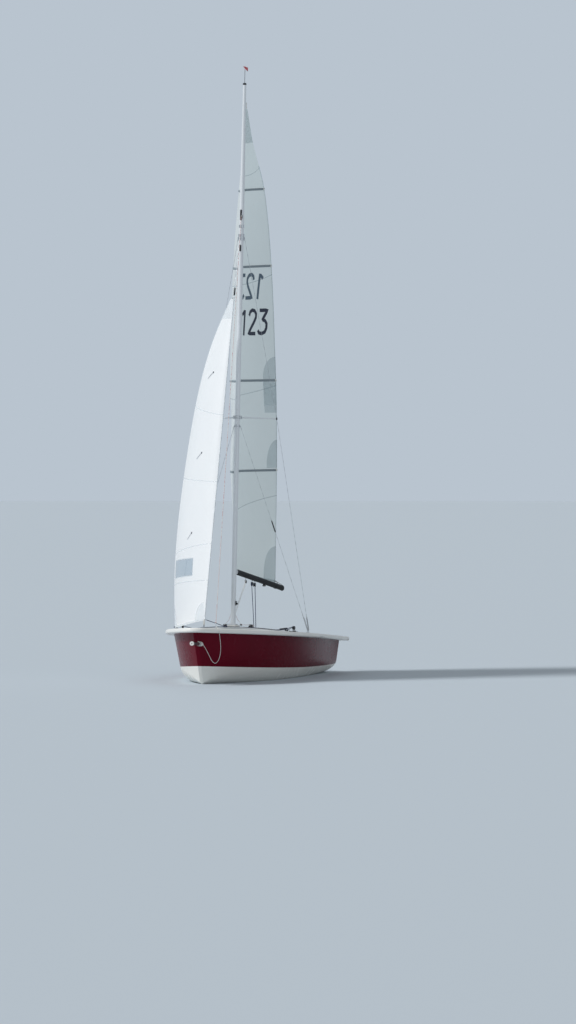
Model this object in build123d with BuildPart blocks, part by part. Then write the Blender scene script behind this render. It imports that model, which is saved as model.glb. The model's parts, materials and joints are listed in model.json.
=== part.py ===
from build123d import *
from math import atan2, cos, pi, radians, sin, tan
import os

# Sailing dinghy afloat, with mainsail and jib set, board and rudder down.
# Millimetres. Origin on the centreline at the waterline amidships, +X forward, +Y to port, +Z up.

# Deck and sheer
deck_length = 4940.0
beam = 2000.0
sheer_bow_height = 770.0
sheer_stern_height = 500.0
gunwale_depth = 60.0
gunwale_width = 170.0
gunwale_round = 22.0
flange_overhang = 130.0
bow_overhang = 95.0
stern_overhang = 90.0
stern_half_breadth = 900.0
beam_station = -400.0
shoulder_from_bow = 1200.0
shoulder_half_breadth = 730.0
nose_half_breadth = 160.0
skin = 6.0

# Cockpit
well_front = 120.0
well_half_width = 640.0
well_front_half_width = 540.0
well_corner = 110.0
well_waist = -900.0
well_clear = 200.0
bench_depth = 260.0
footwell_half_width = 400.0
footwell_front = 60.0
footwell_corner = 90.0
floor_height = 130.0
crown_from_bow = 690.0
crown_height = 70.0
mast_pad_height = 84.0
mast_pad_length = 190.0
mast_pad_width = 150.0
rudder_post_width = 110.0
rudder_post_length = 80.0
rudder_post_top = 450.0

# Hull
stem_rake = 24.0
stem_core = 120.0

# Centreboard and its case
board_pivot_x = 330.0
board_pivot_z = -30.0
board_span = 1070.0
board_lead = 80.0
board_chord = 300.0
board_tip_chord = 230.0
board_thickness = 28.0
board_foil_top = 120.0
foil_nose_share = 0.3
trailing_edge = 3.0
tip_round = 60.0
board_head = 90.0
board_side_gap = 6.0
board_end_gap = 22.0
case_wall = 8.0
case_top = 270.0
pivot_radius = 8.0
running_gap = 0.06

# Mast and its fittings, as distances up the mast from its heel
mast_station = 490.0
mast_rake = 4.6
mast_depth = 74.0
mast_width = 66.0
mast_wall = 2.2
mast_top_depth = 50.0
mast_top_width = 44.0
step_height = 18.0
mast_length = 7475.0
wind_rod_length = 240.0
band_wall = 3.0
taper_start = 5700.0
gooseneck_up = 725.0
spreader_up = 2850.0
lower_shroud_up = 2730.0
hounds_up = 5350.0
forestay_up = 5500.0
spreader_length = 550.0
spreader_sweep = 25.0
spreader_tube = 22.0
fit_gap = 0.3
spreader_tip_radius = 6.0

# Standing rigging
wire_diameter = 4.0
stay_foot_height = 60.0
chainplate_station = 0.0
chainplate_half_breadth = 945.0
lower_chainplate_station = 60.0
chainplate_thickness = 4.0
chainplate_height = 45.0
bow_eye_radius = 5.0
forestay_from_bow = 550.0

# Boom
boom_axis_gap = 18.0
boom_start = 45.0
boom_length = 2720.0
boom_depth = 78.0
boom_width = 60.0
boom_wall = 2.2
boom_droop = 6.0
boom_angle = 1.6
boom_cap = 30.0
toggle_width = 30.0
gooseneck_pin_radius = 5.0
gooseneck_lug = 8.0
gooseneck_gap = 2.0
toggle_height = 44.0

# Sails
cloth = 4.0
main_luff_gap = 6.0
foot_gap = 0.2
foot_chord = 2370.0
foot_camber = 0.055
headboard_chord = 130.0
headboard_height = 90.0
jib_tack_height = 110.0
jib_luff_gap = 1.5

# Bowsprit
bowsprit_diameter = 50.0
bowsprit_wall = 2.5
sprit_eye_radius = 8.0
sprit_ring_length = 22.0
bowsprit_length = 1850.0
bowsprit_reach = 375.0
bowsprit_side = 45.0
bowsprit_exit_z = 550.0
bowsprit_from_bow = 200.0
bowsprit_pitch = 2.8
sprit_hole_reach = 700.0
bush_wall = 6.0
bush_length = 130.0
bush_gap = 0.5
bush_proud = 30.0

# Rudder
rudder_axis_gap = 60.0
pintle_radius = 5.0
gudgeon_low = 70.0
gudgeon_high = 380.0
gudgeon_thickness = 14.0
stock_side = 5.0
stock_length = 150.0
stock_top = 440.0
stock_bottom = 0.0
rudder_thickness = 24.0
rudder_side_gap = 5.0
rudder_chord = 230.0
rudder_tip_chord = 170.0
rudder_tip_z = -640.0
rudder_head = 70.0
rudder_neck = 90.0
rudder_flare = 90.0
rudder_pivot_z = 70.0
tiller_length = 1080.0
tiller_width = 34.0
tiller_height = 40.0
tiller_z = 600.0
extension_diameter = 18.0
extension_length = 1000.0
bolt_head = 6.0

# Mainsheet block
mainsheet_station = -690.0

# Tack line of the gennaker, from a hitch on the bowsprit to its pad eye on the foredeck
line_diameter = 6.0
pad_eye_x = 2150.0
pad_eye_y = 232.0
pad_eye_wire = 5.0
pad_eye_radius = 11.0
pad_eye_base = 3.0


def at_plane(plane, x, y, h):
    """World point of local coordinates on a plane."""
    return plane.from_local_coords(Vector(x, y, h))


def write_part(part, name):
    """Label a finished piece and write it to its file."""
    part.label = name
    export_step(part, "parts/" + name + ".step")


os.makedirs("parts", exist_ok=True)

# Planes that the pieces share
hull_stern = -deck_length / 2 + stern_overhang
hull_half_beam = beam / 2 - flange_overhang
sheer_slope = (sheer_bow_height - sheer_stern_height) / deck_length
sheer_middle = (sheer_bow_height + sheer_stern_height) / 2
shoulder_station = deck_length / 2 - shoulder_from_bow
crown_front = deck_length / 2 - crown_from_bow
forestay_station = deck_length / 2 - forestay_from_bow
sheer_along = Vector(1, 0, sheer_slope).normalized()
sheer_plane = Plane(origin=(0, 0, sheer_middle), x_dir=sheer_along, z_dir=sheer_along.cross(Vector(0, 1, 0)))
heel = at_plane(sheer_plane, mast_station, 0, mast_pad_height + step_height)
mast_up = Vector(-sin(radians(mast_rake)), 0, cos(radians(mast_rake)))
mast_forward = Vector(cos(radians(mast_rake)), 0, sin(radians(mast_rake)))
mast_plane = Plane(origin=heel, x_dir=mast_forward, z_dir=mast_up)


def sheer_height(x):
    """Height of the side deck at a distance forward."""
    return sheer_middle + sheer_slope * x


def section_plane(x, rake):
    """Plane across the hull, local x to port and local y up, leaning forward by rake."""
    lean = radians(rake)
    return Plane(origin=(x, 0, 0), x_dir=(0, 1, 0), z_dir=(cos(lean), 0, -sin(lean)))


# Hull sections from the transom to the stem. Columns: share of the hull's length at the waterline, lean of
# the section, keel height, half-breadth and height of the bilge's corner, its radius, half-breadth at the sheer.
# Half-breadths are shares of the hull's greatest.
stem_x = deck_length / 2 - bow_overhang - sheer_height(deck_length / 2) * tan(radians(stem_rake))
hull_stations = [
    (0.00, 0.0, 2.0, 0.820, 35.0, 170.0, 0.900),
    (0.27, 0.0, -118.0, 0.900, 10.0, 280.0, 0.985),
    (0.52, 0.0, -165.0, 0.890, 8.0, 330.0, 0.990),
    (0.76, 4.0, -130.0, 0.665, 25.0, 280.0, 0.800),
    (0.91, 12.0, -70.0, 0.345, 55.0, 190.0, 0.480),
    (1.00, stem_rake, 0.0, 0.022, 30.0, 12.0, 0.034),
]


def hull_section(x, lean, keel, corner_y, corner_z, radius, sheer_y, inset):
    """Closed section: floor line, round bilge, topside line and a level top, drawn in by an inset."""
    top = sheer_height(x) / cos(radians(lean)) * 1.02
    floor = Vector(corner_y, corner_z - keel).normalized()
    side = Vector(sheer_y - corner_y, top - corner_z).normalized()
    floor_in = Vector(-floor.Y, floor.X)
    side_in = Vector(-side.Y, side.X)
    corner = Vector(corner_y, corner_z) + (floor_in + side_in) * (inset / (1 + floor_in.dot(side_in)))
    with BuildSketch(section_plane(x, lean)) as section:
        with BuildLine():
            half = FilletPolyline((0, keel + inset / floor.X), corner, (sheer_y - inset / side.Y, top),
                                  radius=radius - inset)
            Line(half @ 1, (0, top))
            mirror(about=Plane.YZ)
        make_face()
    return section.sketch.face()


outer_sections = []
inner_sections = []
for share, lean, keel, corner, corner_z, radius, sheer in hull_stations:
    x = hull_stern + share * (stem_x - hull_stern)
    form = (keel, corner * hull_half_beam, corner_z, radius, sheer * hull_half_beam)
    outer_sections.append(hull_section(x, lean, *form, 0))
    inner_sections.append(hull_section(x, lean, *form, skin))

with BuildPart() as hull_form:
    loft(outer_sections)

# The inside stops short of the transom's skin and of the solid stem
with BuildPart() as hull_inside:
    loft(inner_sections)
    split(bisect_by=section_plane(hull_stern + skin, 0), keep=Keep.TOP)
    split(bisect_by=section_plane(stem_x - stem_core, stem_rake), keep=Keep.BOTTOM)


def well_outline(grow, stern):
    """Plan of the upper cockpit well, open at the stern."""
    half = well_half_width + grow
    front = well_front + grow
    front_half = well_front_half_width + grow
    with BuildSketch() as plan:
        with BuildLine():
            Polyline((stern, 0), (stern, half), (well_waist, half), (front, front_half), (front, 0))
            mirror(about=Plane.XZ)
        make_face()
        fillet(plan.vertices().group_by(Axis.X)[-1], well_corner + grow)
    return plan.sketch


def footwell_outline(grow, stern):
    """Plan of the footwell between the benches, open at the stern."""
    with BuildSketch() as plan:
        with Locations(((stern + footwell_front + grow) / 2, 0)):
            Rectangle(footwell_front + grow - stern, 2 * (footwell_half_width + grow))
        fillet(plan.vertices().group_by(Axis.X)[-1], footwell_corner + grow)
    return plan.sketch


with BuildPart() as well_space:
    with BuildSketch(sheer_plane.offset(well_clear)):
        add(well_outline(0, -deck_length))
    extrude(amount=-(well_clear + bench_depth))
    with BuildSketch(Plane.XY.offset(floor_height)):
        add(footwell_outline(0, -deck_length))
    extrude(amount=500)

# Centreboard case, a thin tall box from the keel up through the footwell floor
board_room = board_thickness + 2 * board_side_gap
case_front = board_pivot_x + board_head + board_end_gap
case_aft = board_pivot_x - board_span - board_end_gap
case_middle = (case_front + case_aft) / 2
case_length = case_front - case_aft
case_low = -400.0

with BuildPart() as case_block:
    with BuildSketch(Plane.XY.offset(case_low)):
        with Locations((case_middle, 0)):
            Rectangle(case_length + 2 * case_wall, board_room + 2 * case_wall)
    extrude(amount=case_top - case_low)

with BuildPart() as case_room:
    with BuildSketch(Plane.XY.offset(case_low)):
        with Locations((case_middle, 0)):
            Rectangle(case_length, board_room)
    extrude(amount=case_top - case_wall - case_low)
    with BuildSketch(Plane.XZ.offset(-board_room)):
        with Locations((board_pivot_x, board_pivot_z)):
            Circle(pivot_radius + running_gap)
    extrude(amount=2 * board_room)

# Bowsprit line, beside the stem on the port side
sprit_along = Vector(cos(radians(bowsprit_pitch)), 0, sin(radians(bowsprit_pitch)))
sprit_exit = Vector(deck_length / 2 - bowsprit_from_bow, bowsprit_side, bowsprit_exit_z)
sprit_plane = Plane(origin=sprit_exit, x_dir=(0, 1, 0), z_dir=sprit_along)
bush_radius = bowsprit_diameter / 2 + bush_gap + bush_wall

with BuildPart() as hull_moulding:
    add(hull_form.part)
    add(hull_inside.part, mode=Mode.SUBTRACT)
    split(bisect_by=sheer_plane.offset(-gunwale_depth), keep=Keep.BOTTOM)
    add(well_space.part, mode=Mode.SUBTRACT)
    add(case_block.part, mode=Mode.SUBTRACT)
    with BuildSketch(sprit_plane.offset(-sprit_hole_reach)):
        Circle(bush_radius)
    extrude(amount=2 * sprit_hole_reach, mode=Mode.SUBTRACT)
write_part(hull_moulding.part, "hull_moulding")

with BuildPart() as centreboard_case:
    add(case_block.part)
    add(hull_form.part, mode=Mode.INTERSECT)
    add(case_room.part, mode=Mode.SUBTRACT)
write_part(centreboard_case.part, "centreboard_case")


def nose_setback():
    """Distance aft of the nose where its arc starts, so that the arc meets the centreline squarely."""
    side_turn = 2 * atan2(beam / 2 - shoulder_half_breadth, shoulder_station - beam_station)
    setback = nose_half_breadth / 2
    for _ in range(12):
        fall = atan2(shoulder_half_breadth - nose_half_breadth, shoulder_from_bow - setback)
        setback = nose_half_breadth * tan(pi / 4 - (2 * fall - side_turn) / 2)
    return setback


def deck_outline():
    """Plan of the deck on the sheer plane: quarter, side, shoulder and nose arcs, mirrored."""
    stern = -deck_length / 2
    nose = deck_length / 2
    with BuildSketch() as plan:
        with BuildLine():
            quarter = TangentArc((beam_station, beam / 2), (stern, stern_half_breadth), tangent=(-1, 0))
            Line(quarter @ 1, (stern, 0))
            side = TangentArc((beam_station, beam / 2), (shoulder_station, shoulder_half_breadth), tangent=(1, 0))
            shoulder = TangentArc(side @ 1, (nose - nose_setback(), nose_half_breadth), tangent=side % 1)
            TangentArc(shoulder @ 1, (nose, 0), tangent=shoulder % 1)
            mirror(about=Plane.XZ)
        make_face()
    return plan.sketch


# Crown of the foredeck. Columns: distance forward, half-width, rise over the side deck.
crown_sections = [
    (well_front + 18, 770.0, crown_height),
    (1000.0, 610.0, 42.0),
    (crown_front, 300.0, 4.0),
]


def crown_section(x, half, rise, base):
    """Shallow arc over a straight base, across the deck."""
    across = Plane(origin=at_plane(sheer_plane, x, 0, 0), x_dir=(0, 1, 0), z_dir=sheer_along)
    with BuildSketch(across) as section:
        with BuildLine():
            crown = ThreePointArc((-half, 0), (0, rise), (half, 0))
            Polyline(crown @ 1, (half, base), (-half, base), crown @ 0)
        make_face()
    return section.sketch.face()


with BuildPart() as deck_moulding:
    with BuildSketch(sheer_plane):
        add(deck_outline())
    extrude(amount=-gunwale_depth)
    rim = deck_moulding.faces().sort_by(Axis(origin=(0, 0, 0), direction=sheer_plane.z_dir))
    fillet(rim[-1].edges() + rim[0].edges(), gunwale_round)
    with BuildSketch(sheer_plane.offset(-skin)):
        add(deck_outline())
        offset(amount=-gunwale_width, mode=Mode.REPLACE)
    extrude(amount=-gunwale_depth, mode=Mode.SUBTRACT)
    loft([crown_section(x, half, rise, -skin) for x, half, rise in crown_sections])
    with BuildSketch(sheer_plane.offset(-skin)):
        with Locations((mast_station, 0)):
            RectangleRounded(mast_pad_length, mast_pad_width, 30)
    extrude(amount=mast_pad_height + skin)
    with BuildSketch(sheer_plane):
        add(well_outline(skin, hull_stern + skin))
    extrude(amount=-(bench_depth + skin))
    with BuildSketch(Plane.XY.offset(floor_height - skin)):
        add(footwell_outline(skin, hull_stern + skin))
    extrude(amount=220)
    add(well_space.part, mode=Mode.SUBTRACT)
    with BuildSketch(Plane.XY.offset(floor_height - skin)):
        with Locations((hull_stern + rudder_post_length / 2, 0)):
            Rectangle(rudder_post_length, rudder_post_width)
    extrude(amount=rudder_post_top - floor_height + skin)
    add(hull_moulding.part, mode=Mode.SUBTRACT)
    add(case_block.part, mode=Mode.SUBTRACT)
write_part(deck_moulding.part, "deck_moulding")


def foil_section(plane, lead, chord, thickness):
    """Foil section on a plane, local x forward: elliptical nose and a straight run to a fine trailing edge."""
    nose = foil_nose_share * chord
    with BuildSketch(plane) as section:
        with BuildLine():
            front = EllipticalCenterArc((lead - nose, 0), nose, thickness / 2, start_angle=-90, arc_size=180)
            Polyline(front @ 0, (lead - chord, -trailing_edge / 2), (lead - chord, trailing_edge / 2), front @ 1)
        make_face()
    return section.sketch.face()


def foil_sections(side_plane, stations):
    """Foil sections below a pivot, for a loft. Columns of a station: distance below the pivot, leading edge
    ahead of it, chord, thickness."""
    faces = []
    for down, lead, chord, thickness in stations:
        level = Plane(origin=at_plane(side_plane, 0, -down, 0), x_dir=(1, 0, 0), z_dir=(0, 0, 1))
        faces.append(foil_section(level, lead, chord, thickness))
    return faces


# Centreboard, hung on its bolt: a parallel-sided head that fills the case, and a foil below the keel
board_plane = Plane(origin=(board_pivot_x, 0, board_pivot_z), x_dir=(1, 0, 0), z_dir=(0, -1, 0))
board_foil = foil_sections(board_plane, [
    (board_foil_top, board_lead, board_chord, board_thickness),
    (board_span - tip_round, board_lead - 10, board_tip_chord + 20, 0.8 * board_thickness),
    (board_span, board_lead - 10 - tip_round / 2, board_tip_chord - tip_round / 2, 0.5 * board_thickness),
])
with BuildPart() as centreboard:
    with BuildSketch(board_plane):
        with BuildLine():
            head = Polyline((board_lead, 0), (board_lead, -board_foil_top),
                            (board_lead - board_chord, -board_foil_top), (board_lead - board_chord, 0))
            ThreePointArc(head @ 1, (board_lead - board_chord / 2, board_head), head @ 0)
        make_face()
    extrude(amount=board_thickness / 2, both=True)
    loft(board_foil, ruled=True)
    with BuildSketch(board_plane):
        Circle(pivot_radius + running_gap)
    extrude(amount=board_thickness, both=True, mode=Mode.SUBTRACT)
write_part(centreboard.part, "centreboard")

# Pivot bolt of the board, through both walls of the case
with BuildPart() as pivot_bolt:
    with BuildSketch(board_plane):
        Circle(pivot_radius)
    extrude(amount=board_room / 2 + case_wall + bolt_head, both=True)
    for side in (1, -1):
        with BuildSketch(board_plane.offset(side * (board_room / 2 + case_wall))):
            Circle(1.6 * pivot_radius)
        extrude(amount=side * bolt_head)
write_part(pivot_bolt.part, "pivot_bolt")

# Bowsprit and the bush that it slides through
with BuildPart() as bowsprit:
    with BuildSketch(sprit_plane.offset(bowsprit_reach)):
        Circle(bowsprit_diameter / 2)
        Circle(bowsprit_diameter / 2 - bowsprit_wall, mode=Mode.SUBTRACT)
    extrude(amount=-bowsprit_length)
write_part(bowsprit.part, "bowsprit")

with BuildPart() as bowsprit_ring:
    with BuildSketch(sprit_plane.offset(bowsprit_reach)):
        Circle(bowsprit_diameter / 2 + 3)
        Circle(sprit_eye_radius, mode=Mode.SUBTRACT)
    extrude(amount=sprit_ring_length)
write_part(bowsprit_ring.part, "bowsprit_ring")

with BuildPart() as bowsprit_bush:
    with BuildSketch(sprit_plane.offset(-bush_length)):
        Circle(bush_radius - fit_gap)
        Circle(bowsprit_diameter / 2 + bush_gap, mode=Mode.SUBTRACT)
    extrude(amount=bush_length + bush_proud)
write_part(bowsprit_bush.part, "bowsprit_bush")


# Mast: oval tube, parallel to the taper and then lofted to a slimmer head, closed by a step and a cap
def oval(plane, depth, width, wall):
    """Oval tube section on a plane, its depth along local x; a wall of 0 leaves it filled."""
    with BuildSketch(plane) as section:
        Ellipse(depth / 2, width / 2)
        if wall:
            Ellipse(depth / 2 - wall, width / 2 - wall, mode=Mode.SUBTRACT)
    return section.sketch


with BuildPart() as mast:
    extrude(oval(mast_plane, mast_depth, mast_width, 0), amount=taper_start)
    loft([oval(mast_plane.offset(taper_start), mast_depth, mast_width, 0).face(),
          oval(mast_plane.offset(mast_length), mast_top_depth, mast_top_width, 0).face()])
    extrude(oval(mast_plane, mast_depth - 2 * mast_wall, mast_width - 2 * mast_wall, 0), amount=taper_start,
            mode=Mode.SUBTRACT)
    loft([oval(mast_plane.offset(taper_start), mast_depth - 2 * mast_wall, mast_width - 2 * mast_wall, 0).face(),
          oval(mast_plane.offset(mast_length), mast_top_depth - 2 * mast_wall, mast_top_width - 2 * mast_wall,
               0).face()], mode=Mode.SUBTRACT)
write_part(mast.part, "mast")

# The step is level with the side decks below and square to the mast above
with BuildPart() as mast_step:
    with BuildSketch(mast_plane.offset(-4 * step_height)):
        RectangleRounded(mast_pad_length - 50, mast_pad_width - 40, 12)
    extrude(amount=4 * step_height)
    split(bisect_by=sheer_plane.offset(mast_pad_height), keep=Keep.TOP)
write_part(mast_step.part, "mast_step")

with BuildPart() as masthead_cap:
    extrude(oval(mast_plane.offset(mast_length), mast_top_depth + 6, mast_top_width + 6, 0), amount=26)
    chamfer(masthead_cap.faces().sort_by(Axis.Z)[-1].edges(), 6)
    with BuildSketch(mast_plane.offset(mast_length + 26)):
        Circle(3)
    extrude(amount=wind_rod_length)
    with BuildSketch(Plane(origin=at_plane(mast_plane, 0, 0, mast_length + 26 + wind_rod_length - 24),
                           x_dir=mast_forward, z_dir=(0, 1, 0))):
        with BuildLine():
            Polyline((90, 0), (-120, 26), (-150, 26), (-150, -26), (-120, -26), (90, -4), (90, 0))
        make_face()
    extrude(amount=1, both=True)
write_part(masthead_cap.part, "masthead_cap")


def mast_band(up, height, lugs=()):
    """Band round the mast, with lugs given as (local x, local y, length along local x, along local y)."""
    with BuildPart() as band:
        share = max(0.0, (up - taper_start) / (mast_length - taper_start))
        depth = mast_depth + share * (mast_top_depth - mast_depth)
        width = mast_width + share * (mast_top_width - mast_width)
        plane = mast_plane.offset(up - height / 2)
        extrude(oval(plane, depth + 2 * band_wall, width + 2 * band_wall, 0), amount=height)
        for x, y, along, across in lugs:
            with BuildSketch(plane):
                with Locations((x, y)):
                    Rectangle(along, across)
            extrude(amount=height)
        extrude(oval(plane, depth + 2 * fit_gap, width + 2 * fit_gap, 0), amount=height, mode=Mode.SUBTRACT)
    return band.part


tang_y = mast_width / 2 + band_wall + 6
tang_x = mast_depth / 2 + band_wall + 6
hounds_band = mast_band(hounds_up, 90, [(0, 0, 16, 2 * tang_y)])
write_part(hounds_band, "hounds_band")
forestay_band = mast_band(forestay_up, 40, [(tang_x / 2, 0, tang_x, 14)])
write_part(forestay_band, "forestay_band")
lower_band = mast_band(lower_shroud_up, 30, [(0, 0, 16, 2 * tang_y)])
write_part(lower_band, "lower_shroud_band")

# Spreaders: swept aft, each tube rooted in a bracket on its side of the mast
swept = radians(spreader_sweep)
spreader_bracket = mast_band(spreader_up, 44, [(-6, 0, 44, mast_width + 2 * 26)])
write_part(spreader_bracket, "spreader_bracket")
root_y = mast_width / 2 + 26 + fit_gap


def spreader_point(side, reach):
    """Point along a spreader, measured outward from the mast's centre."""
    return at_plane(mast_plane, -6 - reach * sin(swept), side * reach * cos(swept), spreader_up)


shroud_tip_gap = wire_diameter / 2 + fit_gap + spreader_tip_radius * sin(radians(11))
for side, name in ((1, "spreader_port"), (-1, "spreader_starboard")):
    with BuildPart() as spreader:
        start = spreader_point(side, root_y / cos(swept) + 6)
        end = spreader_point(side, spreader_length - shroud_tip_gap)
        with BuildSketch(Plane(origin=start, z_dir=end - start)):
            Circle(spreader_tube / 2)
        with BuildSketch(Plane(origin=end, z_dir=end - start)):
            Circle(spreader_tip_radius)
        loft()
    write_part(spreader.part, name)


def wire(points, diameter):
    """Taut wire from point to point, a ball at each bend."""
    with BuildPart() as run:
        for start, end in zip(points[:-1], points[1:]):
            with BuildSketch(Plane(origin=start, z_dir=end - start)):
                Circle(diameter / 2)
            extrude(amount=(end - start).length)
        for bend in points[1:-1]:
            with Locations(bend):
                Sphere(diameter / 2)
    return run.part


# Chainplates on the gunwales, with the shrouds' lower ends just above them
def chainplate(side, x):
    """Base plate with an upright eye plate on the side deck."""
    with BuildPart() as plate:
        with BuildSketch(sheer_plane):
            with Locations((x, side * chainplate_half_breadth)):
                RectangleRounded(60, 26, 6)
        extrude(amount=4)
        with BuildSketch(sheer_plane):
            with Locations((x, side * chainplate_half_breadth)):
                Rectangle(26, chainplate_thickness)
        extrude(amount=chainplate_height)
    return plate.part


wire_foot = chainplate_height + fit_gap + wire_diameter / 4
for side, name in ((1, "port"), (-1, "starboard")):
    pair = chainplate(side, chainplate_station) + chainplate(side, lower_chainplate_station)
    write_part(pair, "chainplates_" + name)
    foot = at_plane(sheer_plane, chainplate_station, side * chainplate_half_breadth, wire_foot)
    tip = spreader_point(side, spreader_length)
    top = at_plane(mast_plane, 0, side * (tang_y + wire_diameter / 2 + fit_gap), hounds_up)
    write_part(wire([top, tip, foot], wire_diameter), "cap_shroud_" + name)
    lower_foot = at_plane(sheer_plane, lower_chainplate_station, side * chainplate_half_breadth, wire_foot)
    lower_top = at_plane(mast_plane, 0, side * (tang_y + wire_diameter / 2 + fit_gap), lower_shroud_up)
    write_part(wire([lower_top, lower_foot], wire_diameter), "lower_shroud_" + name)

# Stem fitting on the foredeck, forestay and jib
with BuildPart() as stem_fitting:
    with BuildSketch(sheer_plane):
        with Locations((forestay_station + 60, 0)):
            RectangleRounded(220, 44, 12)
    extrude(amount=5)
    with BuildSketch(Plane(origin=at_plane(sheer_plane, forestay_station, 0, 0), x_dir=sheer_along,
                           z_dir=(0, -1, 0))):
        with BuildLine():
            Polyline((-28, 2), (-14, stay_foot_height), (14, stay_foot_height), (60, 22), (150, 22), (150, 2),
                     (-28, 2))
        make_face()
        with Locations((126, 12)):
            Circle(bow_eye_radius, mode=Mode.SUBTRACT)
    extrude(amount=3, both=True)
write_part(stem_fitting.part, "stem_fitting")

stay_foot = at_plane(sheer_plane, forestay_station, 0, stay_foot_height + fit_gap + wire_diameter / 4)
stay_top = at_plane(mast_plane, tang_x + wire_diameter / 2 + fit_gap, 0, forestay_up)
stay_along = (stay_top - stay_foot).normalized()
write_part(wire([stay_foot, stay_top], wire_diameter), "forestay")


def sail_section(plane, luff, chord, angle, camber):
    """Thin arched section from luff to leech, belly to starboard; local x forward, y to port."""
    turn = radians(angle)
    along = Vector(-cos(turn), -sin(turn))
    across = Vector(sin(turn), -cos(turn))
    fore = Vector(luff, 0)
    belly = fore + along * (chord / 2) + across * (camber * chord)
    leech = fore + along * chord
    with BuildSketch(plane) as section:
        with BuildLine():
            windward = ThreePointArc(fore, belly, leech)
            edge = Line(windward @ 1, leech + across * cloth)
            leeward = ThreePointArc(edge @ 1, belly + across * cloth, fore + across * cloth)
            Line(leeward @ 1, windward @ 0)
        make_face()
    return section.sketch.face()


# Jib. Columns: distance up the stay from the foot, chord, angle of the chord from aft, camber, rise of the
# section towards the leech in degrees.
jib_sections = [
    (jib_tack_height, 1610.0, 31.0, 0.06, -6.0),
    (906.0, 1414.0, 36.0, 0.10, -4.0),
    (2045.0, 1075.0, 42.0, 0.12, -2.0),
    (3182.0, 777.0, 46.0, 0.12, 0.0),
    (3995.0, 454.0, 50.0, 0.10, 1.0),
    (4669.0, 80.0, 52.0, 0.05, 1.0),
]
jib_luff = -(wire_diameter / 2 + jib_luff_gap)
stay_plane = Plane(origin=stay_foot, x_dir=Vector(0, 1, 0).cross(stay_along), z_dir=stay_along)


def level_plane(origin, rise):
    """Plane with local x forward and local y to port, level but for its rise towards aft in degrees."""
    slope = radians(rise)
    return Plane(origin=origin, x_dir=(cos(slope), 0, -sin(slope)), z_dir=(sin(slope), 0, cos(slope)))


with BuildPart() as jib_sail:
    loft([sail_section(level_plane(stay_foot + stay_along * up, rise), jib_luff, chord, angle, camber)
          for up, chord, angle, camber, rise in jib_sections])
write_part(jib_sail.part, "jib_sail")

# Gooseneck on the aft face of the mast, and the boom that turns on its pin
axis_back = mast_depth / 2 + boom_axis_gap
neck = at_plane(mast_plane, -axis_back, 0, gooseneck_up)
droop = radians(boom_droop)
turn = radians(boom_angle)
boom_along = Vector(-cos(droop) * cos(turn), -cos(droop) * sin(turn), -sin(droop))
boom_side = Vector(0, 0, 1).cross(boom_along).normalized()
boom_up = boom_along.cross(boom_side)
boom_plane = Plane(origin=neck, x_dir=boom_up, z_dir=boom_along)
neck_plane = Plane(origin=neck, x_dir=mast_forward, z_dir=mast_up)

lug_out = toggle_height / 2 + gooseneck_gap + gooseneck_lug
with BuildPart() as gooseneck:
    with BuildSketch(neck_plane.offset(-45)):
        with Locations((axis_back - mast_depth / 2 - fit_gap - 2, 0)):
            Rectangle(4, 40)
    extrude(amount=90)
    for low in (-lug_out, lug_out - gooseneck_lug):
        with BuildSketch(neck_plane.offset(low)):
            Circle(2 * gooseneck_pin_radius)
            with Locations((boom_axis_gap / 2, 0)):
                Rectangle(boom_axis_gap - 2 * fit_gap, 4 * gooseneck_pin_radius)
        extrude(amount=gooseneck_lug)
    with BuildSketch(neck_plane):
        Circle(gooseneck_pin_radius)
    extrude(amount=lug_out + 2, both=True)
write_part(gooseneck.part, "gooseneck")

with BuildPart() as boom_toggle:
    with BuildSketch(neck_plane.offset(-toggle_height / 2)):
        Circle(gooseneck_pin_radius + 5)
        with Locations((-12, 0)):
            Rectangle(24, 16)
        Circle(gooseneck_pin_radius + running_gap, mode=Mode.SUBTRACT)
    extrude(amount=toggle_height)
    with BuildSketch(boom_plane.offset(boom_start - 6)):
        Ellipse(boom_depth / 2, boom_width / 2)
    extrude(amount=6)
    with BuildSketch(boom_plane.offset(18)):
        Rectangle(40, 16)
    extrude(amount=boom_start - 20)
write_part(boom_toggle.part, "boom_toggle")

with BuildPart() as boom:
    extrude(oval(boom_plane.offset(boom_start), boom_depth, boom_width, boom_wall), amount=boom_length)
write_part(boom.part, "boom")

with BuildPart() as boom_end:
    extrude(oval(boom_plane.offset(boom_start + boom_length), boom_depth + 4, boom_width + 4, 0), amount=boom_cap)
    chamfer(boom_end.faces().sort_by(Axis(origin=(0, 0, 0), direction=boom_along))[-1].edges(), 8)
write_part(boom_end.part, "boom_end")

# Mainsail. Columns: distance up the mast above the gooseneck, chord, angle of the chord from aft, camber,
# rise of the section towards the leech in degrees, as the battens lie.
main_sections = [
    (1370.0, 2390.0, 2.0, 0.13, 5.5),
    (2630.0, 2290.0, 2.4, 0.15, 6.2),
    (4190.0, 1960.0, 3.2, 0.145, 8.6),
    (5270.0, 1450.0, 4.0, 0.12, 9.7),
    (5950.0, 620.0, 5.0, 0.09, 10.7),
    (6420.0, 150.0, 5.0, 0.03, 11.0),
]
foot_lift = boom_depth / 2 + foot_gap


def batten_plane(up, rise):
    """Plane across the mainsail at a distance above the gooseneck, rising towards the leech by rise degrees."""
    slope = radians(rise)
    return Plane(origin=at_plane(neck_plane, 0, 0, up), x_dir=mast_forward * cos(slope) - mast_up * sin(slope),
                 z_dir=mast_up * cos(slope) + mast_forward * sin(slope))


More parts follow.
